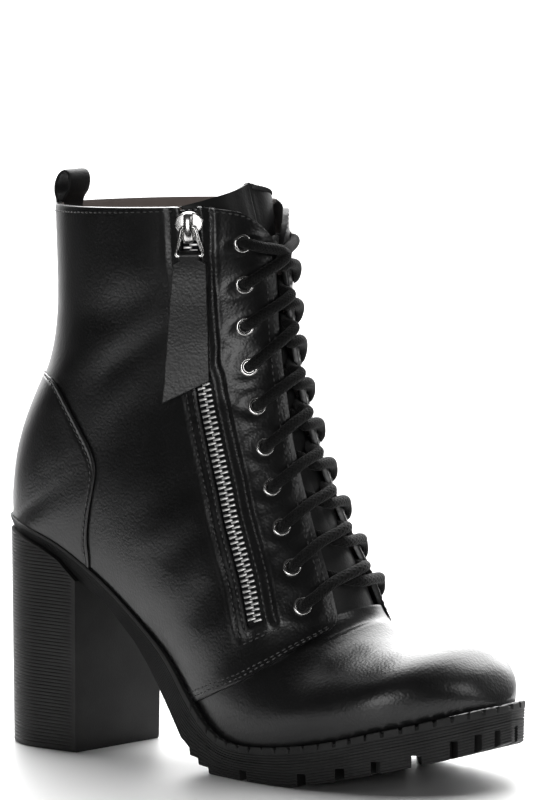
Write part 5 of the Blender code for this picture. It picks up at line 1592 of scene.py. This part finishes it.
class BOOT_OT_stitching(bpy.types.Operator):
    """Stitch rows of the quarters, eyestays, zip, counter and collar"""
    bl_idname = "boot.stitching"
    bl_label = "Stitching"

    def execute(self, context):
        high = size_of("lap") + 0.05
        length, step = size_of("stitch"), size_of("stitch_step")
        rows = []
        c = np.linspace(0.0, 0.93, 120)
        for side in (LATERAL, MEDIAL):
            for inset in (2.2, 4.6):
                s = table_at(SEAM, c) + inset / S_LENGTH
                t = c * throat_at(s, side)
                rows.append(row_on(s, t, side, high + relief(s, t, side)))
                s = np.linspace(0.355, 0.880, 160)
                t = throat_at(s, side) - inset / length_at(s, side)
                rows.append(row_on(s, t, side, high + relief(s, t, side)))
            top = np.linspace(0.0, 0.985, 140)
            s = table_at(COLLAR, top) - 2.6 / S_LENGTH
            t = top * throat_at(s, side)
            rows.append(row_on(s, t, side, high + relief(s, t, side)))
        for gap in (5.0, 8.3):
            for way in (-1, 1):
                s = np.linspace(ZIP_FOOT - 0.006, 0.992, 180)
                t = zip_t(s) + way * gap / length_at(s, LATERAL)
                lift = high + relief(s, t, LATERAL) * 0.4 + (0.6 if gap < 6 else -0.25)
                rows.append(row_on(s, t, LATERAL, lift))
            u = np.linspace(-1, 1, 14)
            s = np.full(14, ZIP_FOOT - 0.004 - gap * 0.0012)
            t = zip_t(s) + u * gap / length_at(s, LATERAL)
            rows.append(row_on(s, t, LATERAL, high + 0.1 + relief(s, t, LATERAL) * 0.4))
        stitch_rows("seam_stitches", rows, length, step, SEAM_THREAD, finish("thread"))
        rows = []
        line = np.array(COUNTER_EDGE)
        for side in (LATERAL, MEDIAL):
            s = np.linspace(0.570, 0.840, 140)
            t = np.interp(s, line[:, 0], line[:, 1]) - 3.2 / length_at(s, side)
            good = t > 0.004
            rows.append(row_on(s[good], t[good], side, size_of("lap") + size_of("counter")))
        stitch_rows("counter_stitches", rows, length, step, COUNTER_THREAD, finish("thread"))
        return {"FINISHED"}


# Studio

def soft_box(name, place, aim, size, power):
    """Area light turned to a point."""
    data = bpy.data.lights.new(name, "AREA")
    data.shape = "RECTANGLE"
    data.size, data.size_y = size
    data.energy = power
    item = bpy.data.objects.new(name, data)
    bpy.context.scene.collection.objects.link(item)
    item.location = place
    item.rotation_euler = (Vector(aim) - Vector(place)).to_track_quat("-Z", "Y").to_euler()
    return item


# Soft boxes: name, angle from the camera (right is plus), rise, distance, size and power
STUDIO_BOXES = (
    ("front_box", math.radians(-13.0), math.radians(3.0), 3.0, (1.2, 1.2), 22.0),
    ("toe_box", math.radians(68.0), math.radians(20.0), 2.0, (0.7, 0.7), 5.0),
)


class BOOT_OT_stage(bpy.types.Operator):
    """Pale floor, soft boxes, white surround and the camera"""
    bl_idname = "boot.stage"
    bl_label = "Stage"

    def execute(self, context):
        studio = context.scene.boot_studio
        bpy.ops.object.select_all(action="DESELECT")
        bpy.ops.mesh.primitive_plane_add(size=2.0)
        floor = context.object
        floor.name = "studio_floor"
        a, e = studio.azimuth, studio.elevation
        away = Vector((math.sin(a) * math.cos(e), -math.cos(a) * math.cos(e), math.sin(e)))
        right = Vector((math.cos(a), math.sin(a), 0.0))
        level = Vector((math.sin(a), -math.cos(a), 0.0))
        up = Vector((0.0, 0.0, 1.0))
        for vertex in floor.data.vertices:
            vertex.co = right * vertex.co.x * 0.6 + level * (0.24 if vertex.co.y < 0 else -3.0)
        n = Nodes("studio_floor")
        greys = [(0.3, (0.57, 0.57, 0.57, 1)), (0.7, (0.59, 0.59, 0.59, 1))]
        n.link(n.spread(n.noise(3.0, 2.0).outputs["Fac"], greys), "Base Color")
        n.set(Roughness=0.5, Specular_IOR_Level=1.0)
        floor.data.materials.append(n.mat)
        world = bpy.data.worlds.new("studio_surround")
        context.scene.world = world
        world.use_nodes = True
        tree = world.node_tree
        back = tree.nodes["Background"]
        back.inputs["Color"].default_value = (1.0, 1.0, 1.0, 1.0)
        coord = tree.nodes.new("ShaderNodeTexCoord").outputs["Generated"]
        facing = tree.nodes.new("ShaderNodeVectorMath")
        facing.operation = "DOT_PRODUCT"
        facing.inputs[1].default_value = (up * 0.6 - level).normalized()
        height = tree.nodes.new("ShaderNodeSeparateXYZ")
        strength = tree.nodes.new("ShaderNodeMath")
        strength.operation = "MULTIPLY"
        tree.links.new(coord, facing.inputs[0])
        tree.links.new(coord, height.inputs[0])
        # Bright behind and above the boot, less so near the horizon: source, its range, result's range
        glow = studio.surround
        ranges = ((facing.outputs["Value"], 0.58, 0.90, 0.006 * glow, glow),
                  (height.outputs["Z"], 0.0, 0.30, 0.35, 1.0))
        for factor, (source, *values) in zip(strength.inputs, ranges):
            shade = tree.nodes.new("ShaderNodeMapRange")
            shade.interpolation_type = "SMOOTHSTEP"
            for key, value in zip(("From Min", "From Max", "To Min", "To Max"), values):
                shade.inputs[key].default_value = value
            tree.links.new(source, shade.inputs["Value"])
            tree.links.new(shade.outputs["Result"], factor)
        tree.links.new(strength.outputs["Value"], back.inputs["Strength"])
        sky = bpy.data.lights.new("top_light", "SUN")
        sky.energy = studio.top
        sky.angle = math.radians(50.0)
        high = bpy.data.objects.new("top_light", sky)
        context.scene.collection.objects.link(high)
        high.visible_glossy = False
        high.rotation_euler = (-(up - level * 0.45)).to_track_quat("-Z", "Y").to_euler()
        for name, side, rise, gap, size, power in STUDIO_BOXES:
            way = (level * math.cos(side) + right * math.sin(side)) * math.cos(rise) + up * math.sin(rise)
            soft_box(name, Vector(AIM) + way * gap, AIM, size, power)
        data = bpy.data.cameras.new("photo_camera")
        data.lens = studio.lens
        data.sensor_width = 36.0
        camera = bpy.data.objects.new("photo_camera", data)
        context.scene.collection.objects.link(camera)
        camera.location = Vector(AIM) + away * studio.distance
        camera.rotation_euler = (-away).to_track_quat("-Z", "Y").to_euler()
        data.clip_end = 100.0
        context.scene.camera = camera
        context.scene.view_settings.view_transform = "Standard"
        return {"FINISHED"}


PIECES = (BOOT_OT_upper, BOOT_OT_counter, BOOT_OT_tongue, BOOT_OT_insole, BOOT_OT_sole, BOOT_OT_heel,
          BOOT_OT_eyelets, BOOT_OT_lace, BOOT_OT_zip, BOOT_OT_zip_slider, BOOT_OT_zip_pull, BOOT_OT_pull_loop,
          BOOT_OT_stitching, BOOT_OT_stage)


class BOOT_PT_panel(bpy.types.Panel):
    """Lists the boot's pieces"""
    bl_idname = "BOOT_PT_panel"
    bl_label = "Lace-up boot"
    bl_space_type = "VIEW_3D"
    bl_region_type = "UI"
    bl_category = "Boot"

    def draw(self, context):
        for piece in PIECES:
            self.layout.operator(piece.bl_idname)


GROUPS = (("boot_sizes", BootSizes), ("boot_colours", BootColours), ("boot_studio", BootStudio))


def register():
    """Add the boot's settings, operators and panel."""
    for name, group in GROUPS:
        bpy.utils.register_class(group)
        setattr(bpy.types.Scene, name, bpy.props.PointerProperty(type=group))
    for piece in PIECES + (BOOT_PT_panel,):
        bpy.utils.register_class(piece)


def unregister():
    """Take them away again."""
    for piece in reversed(PIECES + (BOOT_PT_panel,)):
        bpy.utils.unregister_class(piece)
    for name, group in reversed(GROUPS):
        delattr(bpy.types.Scene, name)
        bpy.utils.unregister_class(group)


def main():
    """Build every piece in order."""
    register()
    bpy.ops.boot.upper()
    bpy.ops.boot.counter()
    bpy.ops.boot.tongue()
    bpy.ops.boot.insole()
    bpy.ops.boot.sole()
    bpy.ops.boot.heel()
    bpy.ops.boot.eyelets()
    bpy.ops.boot.lace()
    bpy.ops.boot.zip()
    bpy.ops.boot.zip_slider()
    bpy.ops.boot.zip_pull()
    bpy.ops.boot.pull_loop()
    bpy.ops.boot.stitching()
    bpy.ops.boot.stage()


if __name__ == "__main__":
    main()
